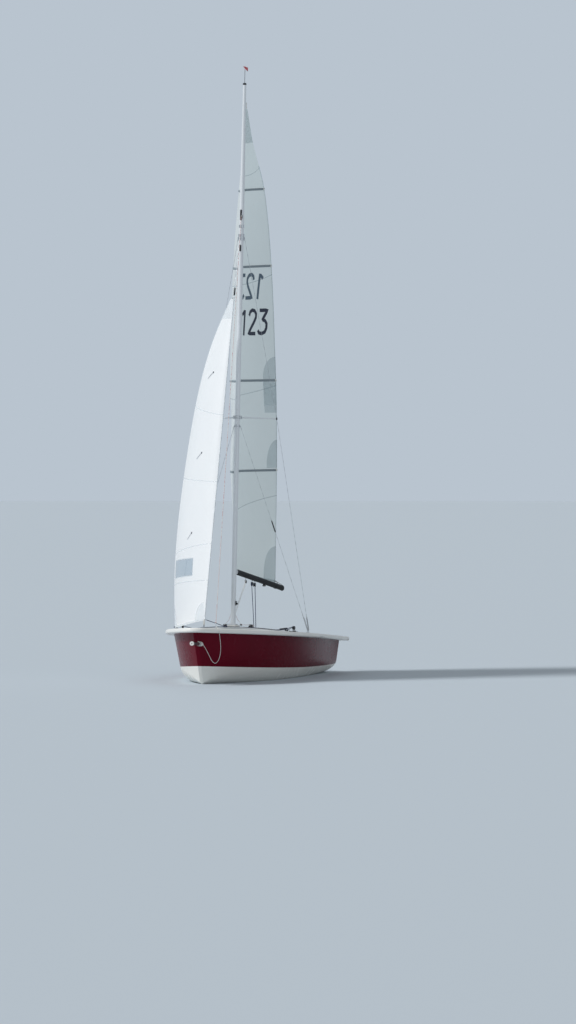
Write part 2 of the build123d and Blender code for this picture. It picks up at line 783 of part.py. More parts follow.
foot_plane = Plane(origin=neck + boom_up * foot_lift, x_dir=-boom_along, z_dir=boom_up)
with BuildPart() as mainsail:
    foot = sail_section(foot_plane, -main_luff_gap, foot_chord, 0, foot_camber)
    upper = [sail_section(batten_plane(up, rise), -main_luff_gap, chord, angle, camber)
             for up, chord, angle, camber, rise in main_sections]
    loft([foot] + upper)
write_part(mainsail.part, "mainsail")

with BuildPart() as headboard:
    extrude(sail_section(batten_plane(main_sections[-1][0] + fit_gap, main_sections[-1][4]), -main_luff_gap,
                         headboard_chord, main_sections[-1][2], main_sections[-1][3]), amount=headboard_height)
write_part(headboard.part, "headboard")

# Rudder: gudgeons on the transom, stock with its pintles, lifting blade, tiller
rudder_x = hull_stern - rudder_axis_gap
rudder_axis = Plane(origin=(rudder_x, 0, 0), x_dir=(1, 0, 0), z_dir=(0, 0, 1))
stock_gap = rudder_thickness + 2 * rudder_side_gap
stock_width = stock_gap + 2 * stock_side
for up, name in ((gudgeon_low, "gudgeon_lower"), (gudgeon_high, "gudgeon_upper")):
    with BuildPart() as gudgeon:
        with BuildSketch(rudder_axis.offset(up)):
            Circle(2.2 * pintle_radius)
            with Locations(((rudder_axis_gap - fit_gap) / 2, 0)):
                Rectangle(rudder_axis_gap - fit_gap, 1.8 * pintle_radius)
            Circle(pintle_radius + running_gap, mode=Mode.SUBTRACT)
        extrude(amount=gudgeon_thickness)
        with BuildSketch(Plane(origin=(hull_stern - fit_gap, 0, up + gudgeon_thickness / 2), x_dir=(0, 1, 0),
                               z_dir=(-1, 0, 0))):
            RectangleRounded(84, 34, 6)
        extrude(amount=4)
    write_part(gudgeon.part, name)

cheek_plane = Plane(origin=(rudder_x, 0, 0), x_dir=(1, 0, 0), z_dir=(0, -1, 0))
stock_fore = -2.2 * pintle_radius - 6
stock_aft = stock_fore - stock_length
with BuildPart() as rudder_stock:
    with BuildSketch(cheek_plane):
        with BuildLine():
            Polyline((stock_fore, stock_bottom), (stock_fore, stock_top), (stock_aft + 40, stock_top),
                     (stock_aft, 200), (stock_aft, stock_bottom), (stock_fore, stock_bottom))
        make_face()
    extrude(amount=stock_width / 2, both=True)
    with BuildSketch(cheek_plane):
        with Locations((stock_fore - stock_length / 2, 100)):
            Rectangle(stock_length * 2, 380)
    extrude(amount=stock_gap / 2, both=True, mode=Mode.SUBTRACT)
    for up in (gudgeon_low, gudgeon_high):
        with BuildSketch(rudder_axis.offset(up - 20)):
            Circle(pintle_radius)
        extrude(amount=20 + gudgeon_thickness + 10)
        with BuildSketch(rudder_axis.offset(up - 20)):
            with Locations((stock_fore / 2 - 4, 0)):
                Rectangle(-stock_fore + 8, 16)
        extrude(amount=14)
    with BuildSketch(rudder_axis.offset(gudgeon_low - 20)):
        with Locations((stock_fore - 6, 0)):
            Rectangle(12, stock_width)
    extrude(amount=14)
write_part(rudder_stock.part, "rudder_stock")

rudder_pivot_x = stock_fore - stock_length / 2 - 8
blade_plane = Plane(origin=(rudder_x + rudder_pivot_x, 0, rudder_pivot_z), x_dir=(1, 0, 0), z_dir=(0, -1, 0))
blade_span = rudder_pivot_z - rudder_tip_z
blade_foil = foil_sections(blade_plane, [
    (rudder_neck, rudder_head, 2 * rudder_head, rudder_thickness),
    (rudder_neck + rudder_flare, rudder_head, rudder_chord, rudder_thickness),
    (blade_span - tip_round, rudder_head - 5, rudder_tip_chord + 20, 0.8 * rudder_thickness),
    (blade_span, rudder_head - 5 - tip_round / 2, rudder_tip_chord - tip_round / 2, 0.5 * rudder_thickness),
])
with BuildPart() as rudder_blade:
    with BuildSketch(blade_plane):
        with BuildLine():
            head = Polyline((rudder_head, 0), (rudder_head, -rudder_neck), (-rudder_head, -rudder_neck),
                            (-rudder_head, 0))
            ThreePointArc(head @ 1, (0, rudder_head), head @ 0)
        make_face()
    extrude(amount=rudder_thickness / 2, both=True)
    loft(blade_foil, ruled=True)
    with BuildSketch(blade_plane):
        Circle(pivot_radius + running_gap)
    extrude(amount=rudder_thickness, both=True, mode=Mode.SUBTRACT)
write_part(rudder_blade.part, "rudder_blade")

with BuildPart() as blade_bolt:
    with BuildSketch(blade_plane):
        Circle(pivot_radius)
    extrude(amount=stock_gap / 2, both=True)
write_part(blade_bolt.part, "rudder_blade_bolt")

tiller_aft = stock_aft + 40
with BuildPart() as tiller:
    with BuildSketch(Plane(origin=(rudder_x, 0, 0), x_dir=(1, 0, 0), z_dir=(0, -1, 0))):
        with BuildLine():
            Polyline((tiller_aft, stock_top), (stock_fore, stock_top), (stock_fore + 60, tiller_z - tiller_height),
                     (tiller_length, tiller_z - tiller_height + 20), (tiller_length, tiller_z),
                     (stock_fore, tiller_z), (tiller_aft, stock_top + 60), (tiller_aft, stock_top))
        make_face()
    extrude(amount=tiller_width / 2, both=True)
write_part(tiller.part, "tiller")

with BuildPart() as tiller_extension:
    with BuildSketch(Plane(origin=(rudder_x + tiller_length - 20, 0, tiller_z + extension_diameter / 2),
                           x_dir=(0, 1, 0), z_dir=(-1, 0, 0))):
        Circle(extension_diameter / 2)
    extrude(amount=extension_length)
write_part(tiller_extension.part, "tiller_extension")

# Mainsheet block on the case, behind the board
with BuildPart() as mainsheet_base:
    with BuildSketch(Plane.XY.offset(case_top)):
        with Locations((mainsheet_station, 0)):
            Circle(22)
    extrude(amount=16)
    with BuildSketch(Plane(origin=(mainsheet_station, 0, case_top + 48), x_dir=(1, 0, 0), z_dir=(0, -1, 0))):
        Circle(34)
        with Locations((0, -26)):
            Rectangle(20, 20)
    extrude(amount=11, both=True)
write_part(mainsheet_base.part, "mainsheet_block")

# Pad eye for the tack line, an arch of rod on a small base
with BuildPart() as deck_eye:
    with BuildSketch(sheer_plane):
        with Locations((pad_eye_x, pad_eye_y)):
            RectangleRounded(4 * pad_eye_radius, 4 * pad_eye_wire, 6)
    extrude(amount=pad_eye_base)
    arch_foot = at_plane(sheer_plane, pad_eye_x, pad_eye_y, pad_eye_base / 2)
    with BuildSketch(Plane(origin=arch_foot, x_dir=sheer_along, z_dir=sheer_plane.z_dir)):
        with Locations((pad_eye_radius, 0)):
            Circle(pad_eye_wire / 2)
    revolve(axis=Axis(origin=arch_foot, direction=(0, 1, 0)), revolution_arc=-180)
write_part(deck_eye.part, "deck_eye")

# The line's route: out of the hitch to port, down in a slack loop, up over the gunwale and in to the pad eye
hitch = sprit_exit + sprit_along * 80
tack_route = [
    (hitch.X, hitch.Y + bowsprit_diameter / 2 + fit_gap, hitch.Z),
    (hitch.X, 106, hitch.Z),
    (2332, 130, 505),
    (2300, 160, 440),
    (2281, 191, 363),
    (2264, 220, 306),
    (2248, 250, 288),
    (2228, 284, 318),
    (2212, 305, 385),
    (2205, 314, 462),
    (2202, 312, 545),
    (2202, 303, 622),
    (2203, 294, 695),
    (2203, 291, 760),
    (2172, 254.5, 762),
    (2148, 237, 766),
]


def line_radii(route):
    """Largest bend radius at each inner point: 0.45 of the shorter run over the tangent of half the turn."""
    radii = []
    for before, at, after in zip(route[:-2], route[1:-1], route[2:]):
        arriving = Vector(*at) - Vector(*before)
        leaving = Vector(*after) - Vector(*at)
        half_turn = radians(arriving.get_angle(leaving) / 2)
        radii.append(0.45 * min(arriving.length, leaving.length) / tan(half_turn))
    return radii


tack_radii = line_radii(tack_route)
with BuildPart() as tack_line:
    with BuildLine() as line_path:
        FilletPolyline(*tack_route, radius=tack_radii)
    with BuildSketch(Plane(origin=line_path.line @ 0, z_dir=line_path.line % 0)):
        Circle(line_diameter / 2)
    sweep(path=line_path.line)
write_part(tack_line.part, "tack_line")
line_length = line_path.wire().length
print("tack line bend radii", [round(radius) for radius in tack_radii], "length", round(line_length))
print("its volume over section times length", tack_line.part.volume / (line_length * pi * line_diameter ** 2 / 4))
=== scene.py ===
import json
from math import cos, log, radians, sin, tau

import bmesh
import bpy
from mathutils import Matrix, Vector
from mathutils.bvhtree import BVHTree


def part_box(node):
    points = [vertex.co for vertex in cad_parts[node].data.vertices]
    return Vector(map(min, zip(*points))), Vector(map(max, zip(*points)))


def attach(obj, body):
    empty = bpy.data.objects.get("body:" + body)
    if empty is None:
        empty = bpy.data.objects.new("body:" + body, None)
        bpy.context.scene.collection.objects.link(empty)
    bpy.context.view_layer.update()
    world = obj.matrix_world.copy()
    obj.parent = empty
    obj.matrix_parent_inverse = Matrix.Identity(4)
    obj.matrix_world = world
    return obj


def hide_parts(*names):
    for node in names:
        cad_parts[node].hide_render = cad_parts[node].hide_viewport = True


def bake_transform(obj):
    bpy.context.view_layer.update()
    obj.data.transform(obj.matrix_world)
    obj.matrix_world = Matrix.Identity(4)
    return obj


# Sailing dinghy afloat with both sails set. Metres, +X forward, +Y to port, the water's surface at z = 0.

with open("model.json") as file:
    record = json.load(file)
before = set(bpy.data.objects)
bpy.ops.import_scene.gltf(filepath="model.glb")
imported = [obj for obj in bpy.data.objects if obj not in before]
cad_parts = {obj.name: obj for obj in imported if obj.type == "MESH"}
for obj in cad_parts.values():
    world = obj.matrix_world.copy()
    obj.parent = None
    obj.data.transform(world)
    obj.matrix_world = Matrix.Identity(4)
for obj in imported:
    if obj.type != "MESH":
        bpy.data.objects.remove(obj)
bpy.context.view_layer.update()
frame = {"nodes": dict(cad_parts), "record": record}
nodes = frame["nodes"]
joints = {joint["name"]: joint for joint in frame["record"]["behaviour"]["joints"]}

X, Y, Z = Vector((1, 0, 0)), Vector((0, 1, 0)), Vector((0, 0, 1))


def towards(bearing, height):
    """Direction at a bearing off the bow, positive to port, and a height over the horizon, in degrees."""
    bearing, height = radians(bearing), radians(height)
    return Vector((cos(bearing) * cos(height), sin(bearing) * cos(height), sin(height)))


# Camera: off the port bow, low over the water, as far away as the photograph's long lens stood
camera_place = Vector((60.0, 16.73, 2.70))
camera_bearing, camera_height = 15.0, 0.37
camera_data = bpy.data.cameras.new("camera")
camera_data.sensor_width = 36.0
camera_data.lens = 158.2
camera_data.clip_end = 2000.0
camera = bpy.data.objects.new("camera", camera_data)
sight = -towards(camera_bearing, camera_height)
camera.matrix_world = Matrix.Translation(camera_place) @ sight.to_track_quat("-Z", "Y").to_matrix().to_4x4()
bpy.context.scene.collection.objects.link(camera)
bpy.context.scene.camera = camera
bpy.context.scene.view_settings.view_transform = "Standard"

# The deck's plane, the mast's line and the boom's line, as the solids have them
sheer_middle = 0.635
sheer_slope = 0.27 / 4.94
sheer_up = Vector((-sheer_slope, 0, 1)).normalized()
neck = Vector(joints["boom_swing"]["pos_m"])
mast_up = Vector(joints["boom_swing"]["axis"])
mast_forward = Vector((mast_up.z, 0, -mast_up.x))
# The gooseneck's pin stands this far behind the mast's centre; heights on the mast count from it
neck_back = 0.055
mast_depth, mast_top_depth = 0.074, 0.050
taper_start, mast_top = 4.975, 6.750
boom_droop, boom_turn = radians(6.0), radians(1.6)
boom_along = Vector((-cos(boom_droop) * cos(boom_turn), -cos(boom_droop) * sin(boom_turn), -sin(boom_droop)))
boom_side = Z.cross(boom_along).normalized()
boom_up = boom_along.cross(boom_side)
boom_under = -0.078 / 2
stay_foot = Vector((1.9138, 0, 0.8010))
stay_top = Vector((0.0908, 0, 6.2497))
stay_along = (stay_top - stay_foot).normalized()
sprit_along = Vector(joints["bowsprit_slide"]["axis"])
pad_eye = Vector((2.150, 0.232, 0.0))


def on_mast(up, ahead, across=0.0):
    """Point at a height above the gooseneck, ahead of the mast's centre and to port."""
    return neck + mast_up * up + mast_forward * (neck_back + ahead) + Y * across


def on_boom(along, up, side=0.0):
    """Point at a distance from the gooseneck's pin along the boom, above it and to starboard."""
    return neck + boom_along * along + boom_up * up + boom_side * side


def on_sheer(x, y, above):
    """Point at a height above the deck's plane."""
    return Vector((x, y, sheer_middle + sheer_slope * x)) + sheer_up * above


def mast_half_depth(up):
    """Half of the mast's fore and aft size at a height above the gooseneck."""
    share = max(0.0, (up - taper_start) / (mast_top - taper_start))
    return (mast_depth + share * (mast_top_depth - mast_depth)) / 2


def tree_of(*names):
    """Search tree over the surfaces of some nodes."""
    points, faces = [], []
    for name in names:
        mesh = nodes[name].data
        start = len(points)
        points += [vertex.co.copy() for vertex in mesh.vertices]
        faces += [[start + index for index in face.vertices] for face in mesh.polygons]
    return BVHTree.FromPolygons(points, faces)


deck_tree = tree_of("deck_moulding")
hull_tree = tree_of("hull_moulding")


def on_deck(x, y, start=2.0):
    """Point of the deck moulding straight below a height, and its upward normal."""
    hit, normal = deck_tree.ray_cast(Vector((x, y, start)), -Z)[:2]
    return hit, normal if normal.z > 0 else -normal


class Shape:
    """Points, faces and texture places of one piece, gathered part by part in the seat that is set."""

    def __init__(self):
        self.points, self.faces, self.places = [], [], []
        self.seat = Matrix()

    def grid(self, rows, places, wrap=False, caps=False, hole=None):
        """Skin over rows of points; wrap joins each row's ends, caps close the first and last row."""
        start, count = len(self.points), len(rows[0])
        self.points += [self.seat @ Vector(point) for row in rows for point in row]
        for i in range(len(rows) - 1):
            for j in range(count if wrap else count - 1):
                if hole and hole(i, j):
                    continue
                k = (j + 1) % count
                self.faces.append([start + i * count + j, start + i * count + k,
                                   start + (i + 1) * count + k, start + (i + 1) * count + j])
                self.places += [places[i][j], places[i][j + 1], places[i + 1][j + 1], places[i + 1][j]]
        if caps:
            for first in (start, start + (len(rows) - 1) * count):
                self.faces.append(list(range(first, first + count)))
                self.places += [(0.0, 0.0)] * count

    def tube(self, path, radius, sides=8):
        """Round section carried along a path; its texture runs in metres along and once around."""
        path = [Vector(point) for point in path]
        side, run, rows, places = None, 0.0, [], []
        for i, at in enumerate(path):
            ahead = (path[min(i + 1, len(path) - 1)] - path[max(i - 1, 0)]).normalized()
            side = ahead.orthogonal() if side is None else side
            side = (side - ahead * side.dot(ahead)).normalized()
            other = ahead.cross(side)
            run += (at - path[i - 1]).length if i else 0.0
            rows.append([at + (side * cos(tau * k / sides) + other * sin(tau * k / sides)) * radius
                         for k in range(sides)])
            places.append([(run, k / sides) for k in range(sides + 1)])
        self.grid(rows, places, wrap=True, caps=True)

    def turned(self, profile, sides):
        """Profile of radius and height turned round the seat's z axis."""
        rows = [[(radius * cos(tau * k / sides), radius * sin(tau * k / sides), height) for k in range(sides)]
                for radius, height in profile]
        places = [[(height, k / sides) for k in range(sides + 1)] for _, height in profile]
        self.grid(rows, places, wrap=True, caps=True)

    def slab(self, outline, thickness, edge, low=0.0):
        """Plate of an outline in the seat's x and y, from a height upwards, its rims chamfered by edge."""
        middle = sum((Vector(point) for point in outline), Vector((0, 0))) / len(outline)
        inner = [Vector(point) + (middle - Vector(point)).normalized() * edge for point in outline]
        levels = ((inner, 0.0), (outline, edge), (outline, thickness - edge), (inner, thickness))
        rows = [[(p[0], p[1], low + height) for p in ring] for ring, height in levels]
        places = [[(p[0], p[1] + p[2]) for p in row + row[:1]] for row in rows]
        self.grid(rows, places, wrap=True, caps=True)

    def make(self, name, material, body, closed=True, slot=None):
        """The finished piece, with its finish, riding on its body unless that is None."""
        sharpest_smooth = radians(38.0)
        mesh = bpy.data.meshes.new(name)
        mesh.from_pydata(self.points, [], self.faces)
        layer = mesh.uv_layers.new(name="UVMap")
        layer.data.foreach_set("uv", [value for place in self.places for value in place])
        if closed:
            work = bmesh.new()
            work.from_mesh(mesh)
            bmesh.ops.recalc_face_normals(work, faces=work.faces)
            work.to_mesh(mesh)
            work.free()
        mesh.shade_smooth()
        mesh.set_sharp_from_angle(angle=sharpest_smooth)
        mesh.materials.append(materials[material])
        made = bpy.data.objects.new(name, mesh)
        bpy.context.scene.collection.objects.link(made)
        if body:
            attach(made, body)
        return made


def seat(place, up, forward=X):
    """Matrix at a place whose z is up and whose x lies nearest forward."""
    z = Vector(up).normalized()
    x = Vector(forward) - z * Vector(forward).dot(z)
    x = x.normalized() if x.length > 0.01 else z.orthogonal()
    return Matrix.Translation(place) @ Matrix((x, z.cross(x), z)).transposed().to_4x4()


def rounded(length, width, radius):
    """Outline of a rectangle with round corners."""
    points, steps = [], 4
    for turn, (sx, sy) in enumerate(((1, 1), (-1, 1), (-1, -1), (1, -1))):
        for step in range(steps + 1):
            angle = tau / 4 * (turn + step / steps)
            points.append((sx * (length / 2 - radius) + radius * cos(angle),
                           sy * (width / 2 - radius) + radius * sin(angle)))
    return points


def line(start, end, steps):
    """Evenly spaced points from start to end."""
    start, end = Vector(start), Vector(end)
    return [start.lerp(end, k / steps) for k in range(steps + 1)]


def spread(low, high, count):
    """Evenly spaced values from low to high."""
    return [low + (high - low) * k / count for k in range(count + 1)]


def nurbs_points(route):
    """Points along the smooth NURBS line that a route's points control."""
    curve = bpy.data.curves.new("route", "CURVE")
    curve.dimensions = "3D"
    spline = curve.splines.new("NURBS")
    spline.points.add(len(route) - 1)
    for point, place in zip(spline.points, route):
        point.co = (*place, 1.0)
    spline.order_u = 3
    spline.use_endpoint_u = True
    spline.resolution_u = 8
    holder = bpy.data.objects.new("route", curve)
    mesh = bpy.data.meshes.new_from_object(holder)
    points = [vertex.co.copy() for vertex in mesh.vertices]
    bpy.data.objects.remove(holder)
    bpy.data.curves.remove(curve)
    bpy.data.meshes.remove(mesh)
    return points


def hitch_on(shape, place, along, size, rope):
    """Two round turns of rope about a line, with a tuck across them."""
    shape.seat = seat(place, along, Z)
    turns = [(size * cos(tau * t / 12), size * sin(tau * t / 12), rope * (t / 12 * 2 - 2)) for t in range(25)]
    shape.tube(turns, rope)
    shape.tube([(size + rope, 0, -3 * rope), (size + 2 * rope, rope, 0), (size + rope, 0, 3 * rope)], rope)
    shape.seat = Matrix()


def add(tree, kind, links=None, **settings):
    """Add a node with its settings; links gives its inputs a value or another node's socket."""
    made = tree.nodes.new(kind)
    for key, value in settings.items():
        setattr(made, key, value)
    for key, value in (links or {}).items():
        if isinstance(value, bpy.types.NodeSocket):
            tree.links.new(value, made.inputs[key])
        else:
            made.inputs[key].default_value = value
    return made


def colour(code):
    """Linear RGBA of an sRGB hex colour."""
    parts = [int(code[i:i + 2], 16) / 255 for i in (1, 3, 5)]
    return tuple(c / 12.92 if c <= 0.04045 else ((c + 0.055) / 1.055) ** 2.4 for c in parts) + (1.0,)


def per_metre(millimetres):
    """Texture scale of a pattern whose features repeat every so many millimetres."""
    return 1000.0 / millimetres


materials = {}


def surface(name, base, roughness, metallic=0.0):
    """New material with a Principled surface, kept under its name; returns its node tree and shader."""
    made = bpy.data.materials.new(name)
    made.use_nodes = True
    materials[name] = made
    shader = made.node_tree.nodes["Principled BSDF"]
    shader.inputs["Base Color"].default_value = colour(base)
    shader.inputs["Roughness"].default_value = roughness
    shader.inputs["Metallic"].default_value = metallic
    return made.node_tree, shader


def hull_gelcoat():
    """Gelcoat sprayed into a polished mould: a deep gloss, crimson above a crisp boot line, white below."""
    tree, shader = surface("polished_two_tone_gelcoat", "#620c20", 0.26)
    place = add(tree, "ShaderNodeTexCoord").outputs["Object"]
    parts = add(tree, "ShaderNodeSeparateXYZ", {0: place})
    # The boot line's height in metres amidships, its slope and its curve along x
    middle, slope, curve = 0.155, 0.030, 0.006
    rise = add(tree, "ShaderNodeMath", {0: parts.outputs["X"], 1: curve, 2: slope}, operation="MULTIPLY_ADD")
    level = add(tree, "ShaderNodeMath", {0: parts.outputs["X"], 1: rise.outputs[0], 2: middle},
                operation="MULTIPLY_ADD")
    above = add(tree, "ShaderNodeMath", {0: parts.outputs["Z"], 1: level.outputs[0]},
                operation="GREATER_THAN")
    cloud = add(tree, "ShaderNodeTexNoise", {"Vector": place, "Scale": per_metre(350), "Detail": 3.0})
    red = add(tree, "ShaderNodeMix", {0: cloud.outputs["Fac"], 6: colour("#5a0a1b"), 7: colour("#670c21")},
              data_type="RGBA")
    both = add(tree, "ShaderNodeMix", {0: above.outputs[0], 6: colour("#e6e6e1"), 7: red.outputs[2]},
               data_type="RGBA")
    tree.links.new(both.outputs[2], shader.inputs["Base Color"])
    # Fine rubbing marks dull it here and there
    marks = add(tree, "ShaderNodeTexNoise", {"Vector": place, "Scale": per_metre(120), "Detail": 3.0})
    dull = add(tree, "ShaderNodeMapRange", {"Value": marks.outputs["Fac"], "From Min": 0.4, "From Max": 0.75,
                                            "To Min": 0.25, "To Max": 0.29})
    tree.links.new(dull.outputs[0], shader.inputs["Roughness"])
    # Orange peel, drawn at 40 mm
    peel = add(tree, "ShaderNodeTexNoise", {"Vector": place, "Scale": per_metre(40), "Detail": 1.0})
    bump = add(tree, "ShaderNodeBump", {"Height": peel.outputs["Fac"], "Strength": 0.012, "Distance": 0.001})
    tree.links.new(bump.outputs["Normal"], shader.inputs["Normal"])
    shader.inputs["Specular IOR Level"].default_value = 0.05


def deck_gelcoat():
    """White gelcoat from a polished mould: glossy, faintly warm, with handling marks that dull it."""
    tree, shader = surface("moulded_white_gelcoat", "#e9e9e4", 0.24)
    place = add(tree, "ShaderNodeTexCoord").outputs["Object"]
    cloud = add(tree, "ShaderNodeTexNoise", {"Vector": place, "Scale": per_metre(280), "Detail": 4.0})
    tone = add(tree, "ShaderNodeMix", {0: cloud.outputs["Fac"], 6: colour("#e7e7e2"), 7: colour("#ecece8")},
               data_type="RGBA")
    tree.links.new(tone.outputs[2], shader.inputs["Base Color"])
    marks = add(tree, "ShaderNodeTexNoise", {"Vector": place, "Scale": per_metre(130), "Detail": 3.0})
    dull = add(tree, "ShaderNodeMapRange", {"Value": marks.outputs["Fac"], "From Min": 0.4, "From Max": 0.7,
                                            "To Min": 0.29, "To Max": 0.34})
    tree.links.new(dull.outputs[0], shader.inputs["Roughness"])
    shader.inputs["Coat Weight"].default_value = 0.12


def non_slip_gelcoat():
    """Gelcoat moulded with a raised diamond grip: matt, a little greyer in the grooves between the diamonds.
    """
    tree, shader = surface("moulded_non_slip_gelcoat", "#d6d8d6", 0.6)
    place = add(tree, "ShaderNodeTexCoord").outputs["Object"]
    # Diamonds of 4 mm, drawn at 9 mm to show
    turned = add(tree, "ShaderNodeMapping", {"Vector": place, "Rotation": (0, 0, tau / 8),
                                             "Scale": (per_metre(9), per_metre(9), 0)})
    cell = add(tree, "ShaderNodeTexVoronoi", {"Vector": turned.outputs[0], "Scale": 1.0, "Randomness": 0.0},
               distance="CHEBYCHEV")
    tone = add(tree, "ShaderNodeMix", {0: cell.outputs["Distance"], 6: colour("#dfe1df"),
                                       7: colour("#c3c6c5")}, data_type="RGBA")
    tree.links.new(tone.outputs[2], shader.inputs["Base Color"])
    bump = add(tree, "ShaderNodeBump", {"Height": cell.outputs["Distance"], "Strength": 0.6,
                                        "Distance": 0.001}, invert=True)
    tree.links.new(bump.outputs["Normal"], shader.inputs["Normal"])


def anodised(name, base, roughness, metallic, gloss, axis):
    """Extruded and anodised aluminium: fine die lines along its length and a satin bloom across them."""
    tree, shader = surface(name, base, roughness, metallic)
    place = add(tree, "ShaderNodeTexCoord").outputs["Object"]
    # Die lines of 2 mm, drawn out to 600 mm along the piece
    scale = [per_metre(600) if k == axis else per_metre(2) for k in range(3)]
    drawn = add(tree, "ShaderNodeMapping", {"Vector": place, "Scale": scale})
    lines = add(tree, "ShaderNodeTexNoise", {"Vector": drawn.outputs[0], "Scale": 1.0, "Detail": 3.0})
    satin = add(tree, "ShaderNodeMapRange", {"Value": lines.outputs["Fac"], "From Min": 0.3, "From Max": 0.7,
                                             "To Min": roughness - 0.08, "To Max": roughness + 0.08})
    tree.links.new(satin.outputs[0], shader.inputs["Roughness"])
    bump = add(tree, "ShaderNodeBump", {"Height": lines.outputs["Fac"], "Strength": 0.08, "Distance": 0.0005})
    tree.links.new(bump.outputs["Normal"], shader.inputs["Normal"])
    shader.inputs["Specular IOR Level"].default_value = gloss


def stainless_wire():
    """Stainless wire of nineteen strands: bright, with the strands' lay running round it."""
    tree, shader = surface("laid_stainless_wire", "#b9bcc0", 0.32, 1.0)
    place = add(tree, "ShaderNodeTexCoord").outputs["Object"]
    # A diagonal wave's crests are tau / 10 of its unit apart, which draws the lay at 88 mm along the wire
    lay = add(tree, "ShaderNodeTexWave", {"Vector": place, "Scale": per_metre(140)},
              bands_direction="DIAGONAL")
    # The lay's grooves between strands are tinted darker: painted shade
    tone = add(tree, "ShaderNodeMix", {0: lay.outputs["Fac"], 6: colour("#8f9398"), 7: colour("#c9ccd0")},
               data_type="RGBA")
    tree.links.new(tone.outputs[2], shader.inputs["Base Color"])
    bump = add(tree, "ShaderNodeBump", {"Height": lay.outputs["Fac"], "Strength": 0.3, "Distance": 0.0006})
    tree.links.new(bump.outputs["Normal"], shader.inputs["Normal"])


def stainless_fitting():
    """Stainless sheet, pressed and tumbled: a soft mirror with fine scuffs."""
    tree, shader = surface("pressed_stainless_steel", "#c4c6c8", 0.24, 1.0)
    place = add(tree, "ShaderNodeTexCoord").outputs["Object"]
    scuffs = add(tree, "ShaderNodeTexNoise", {"Vector": place, "Scale": per_metre(4), "Detail": 5.0})
    dull = add(tree, "ShaderNodeMapRange", {"Value": scuffs.outputs["Fac"], "From Min": 0.35, "From Max": 0.7,
                                            "To Min": 0.16, "To Max": 0.38})
    tree.links.new(dull.outputs[0], shader.inputs["Roughness"])


def moulded_plastic(name, base, second, roughness):
    """Moulded plastic: even colour, a fine spark-eroded grain that keeps its shine soft."""
    tree, shader = surface(name, base, roughness)
    place = add(tree, "ShaderNodeTexCoord").outputs["Object"]
    cloud = add(tree, "ShaderNodeTexNoise", {"Vector": place, "Scale": per_metre(30), "Detail": 2.0})
    tone = add(tree, "ShaderNodeMix", {0: cloud.outputs["Fac"], 6: colour(base), 7: colour(second)},
               data_type="RGBA")
    tree.links.new(tone.outputs[2], shader.inputs["Base Color"])
    # Grain of 0.3 mm, drawn at 2 mm
    grain = add(tree, "ShaderNodeTexNoise", {"Vector": place, "Scale": per_metre(2), "Detail": 1.0})
    bump = add(tree, "ShaderNodeBump", {"Height": grain.outputs["Fac"], "Strength": 0.12, "Distance": 0.0004})
    tree.links.new(bump.outputs["Normal"], shader.inputs["Normal"])


def cap_and_vane():
    """Moulded nylon: a black cap and rod, and above them a vane dyed red right through."""
    moulded_plastic("black_cap_and_red_vane", "#17181a", "#24262a", 0.45)
    tree = materials["black_cap_and_red_vane"].node_tree
    shader = tree.nodes["Principled BSDF"]
    black = shader.inputs["Base Color"].links[0].from_socket
    place = add(tree, "ShaderNodeTexCoord").outputs["Object"]
    height = add(tree, "ShaderNodeSeparateXYZ", {0: place}).outputs["Z"]
    vane_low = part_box("masthead_cap")[1][2] - 0.056
    vane = add(tree, "ShaderNodeMath", {0: height, 1: vane_low}, operation="GREATER_THAN")
    tone = add(tree, "ShaderNodeMix", {0: vane.outputs[0], 6: black, 7: colour("#c4222c")}, data_type="RGBA")
    tree.links.new(tone.outputs[2], shader.inputs["Base Color"])


def carbon_tube():
    """Carbon tube, wound and clear coated: near black, the twill just showing under a hard gloss."""
    tree, shader = surface("clear_coated_carbon", "#15161a", 0.34)
    place = add(tree, "ShaderNodeTexCoord").outputs["Object"]
    # Tows of 3 mm, drawn at 8 mm
    turned = add(tree, "ShaderNodeMapping", {"Vector": place, "Rotation": (tau / 8, 0, tau / 8),
                                             "Scale": (per_metre(8), per_metre(8), per_metre(8))})
    tows = add(tree, "ShaderNodeTexChecker", {"Vector": turned.outputs[0], "Scale": 1.0,
                                              "Color1": colour("#101115"), "Color2": colour("#212329")})
    tree.links.new(tows.outputs["Color"], shader.inputs["Base Color"])
    shader.inputs["Coat Weight"].default_value = 1.0
    shader.inputs["Coat Roughness"].default_value = 0.06


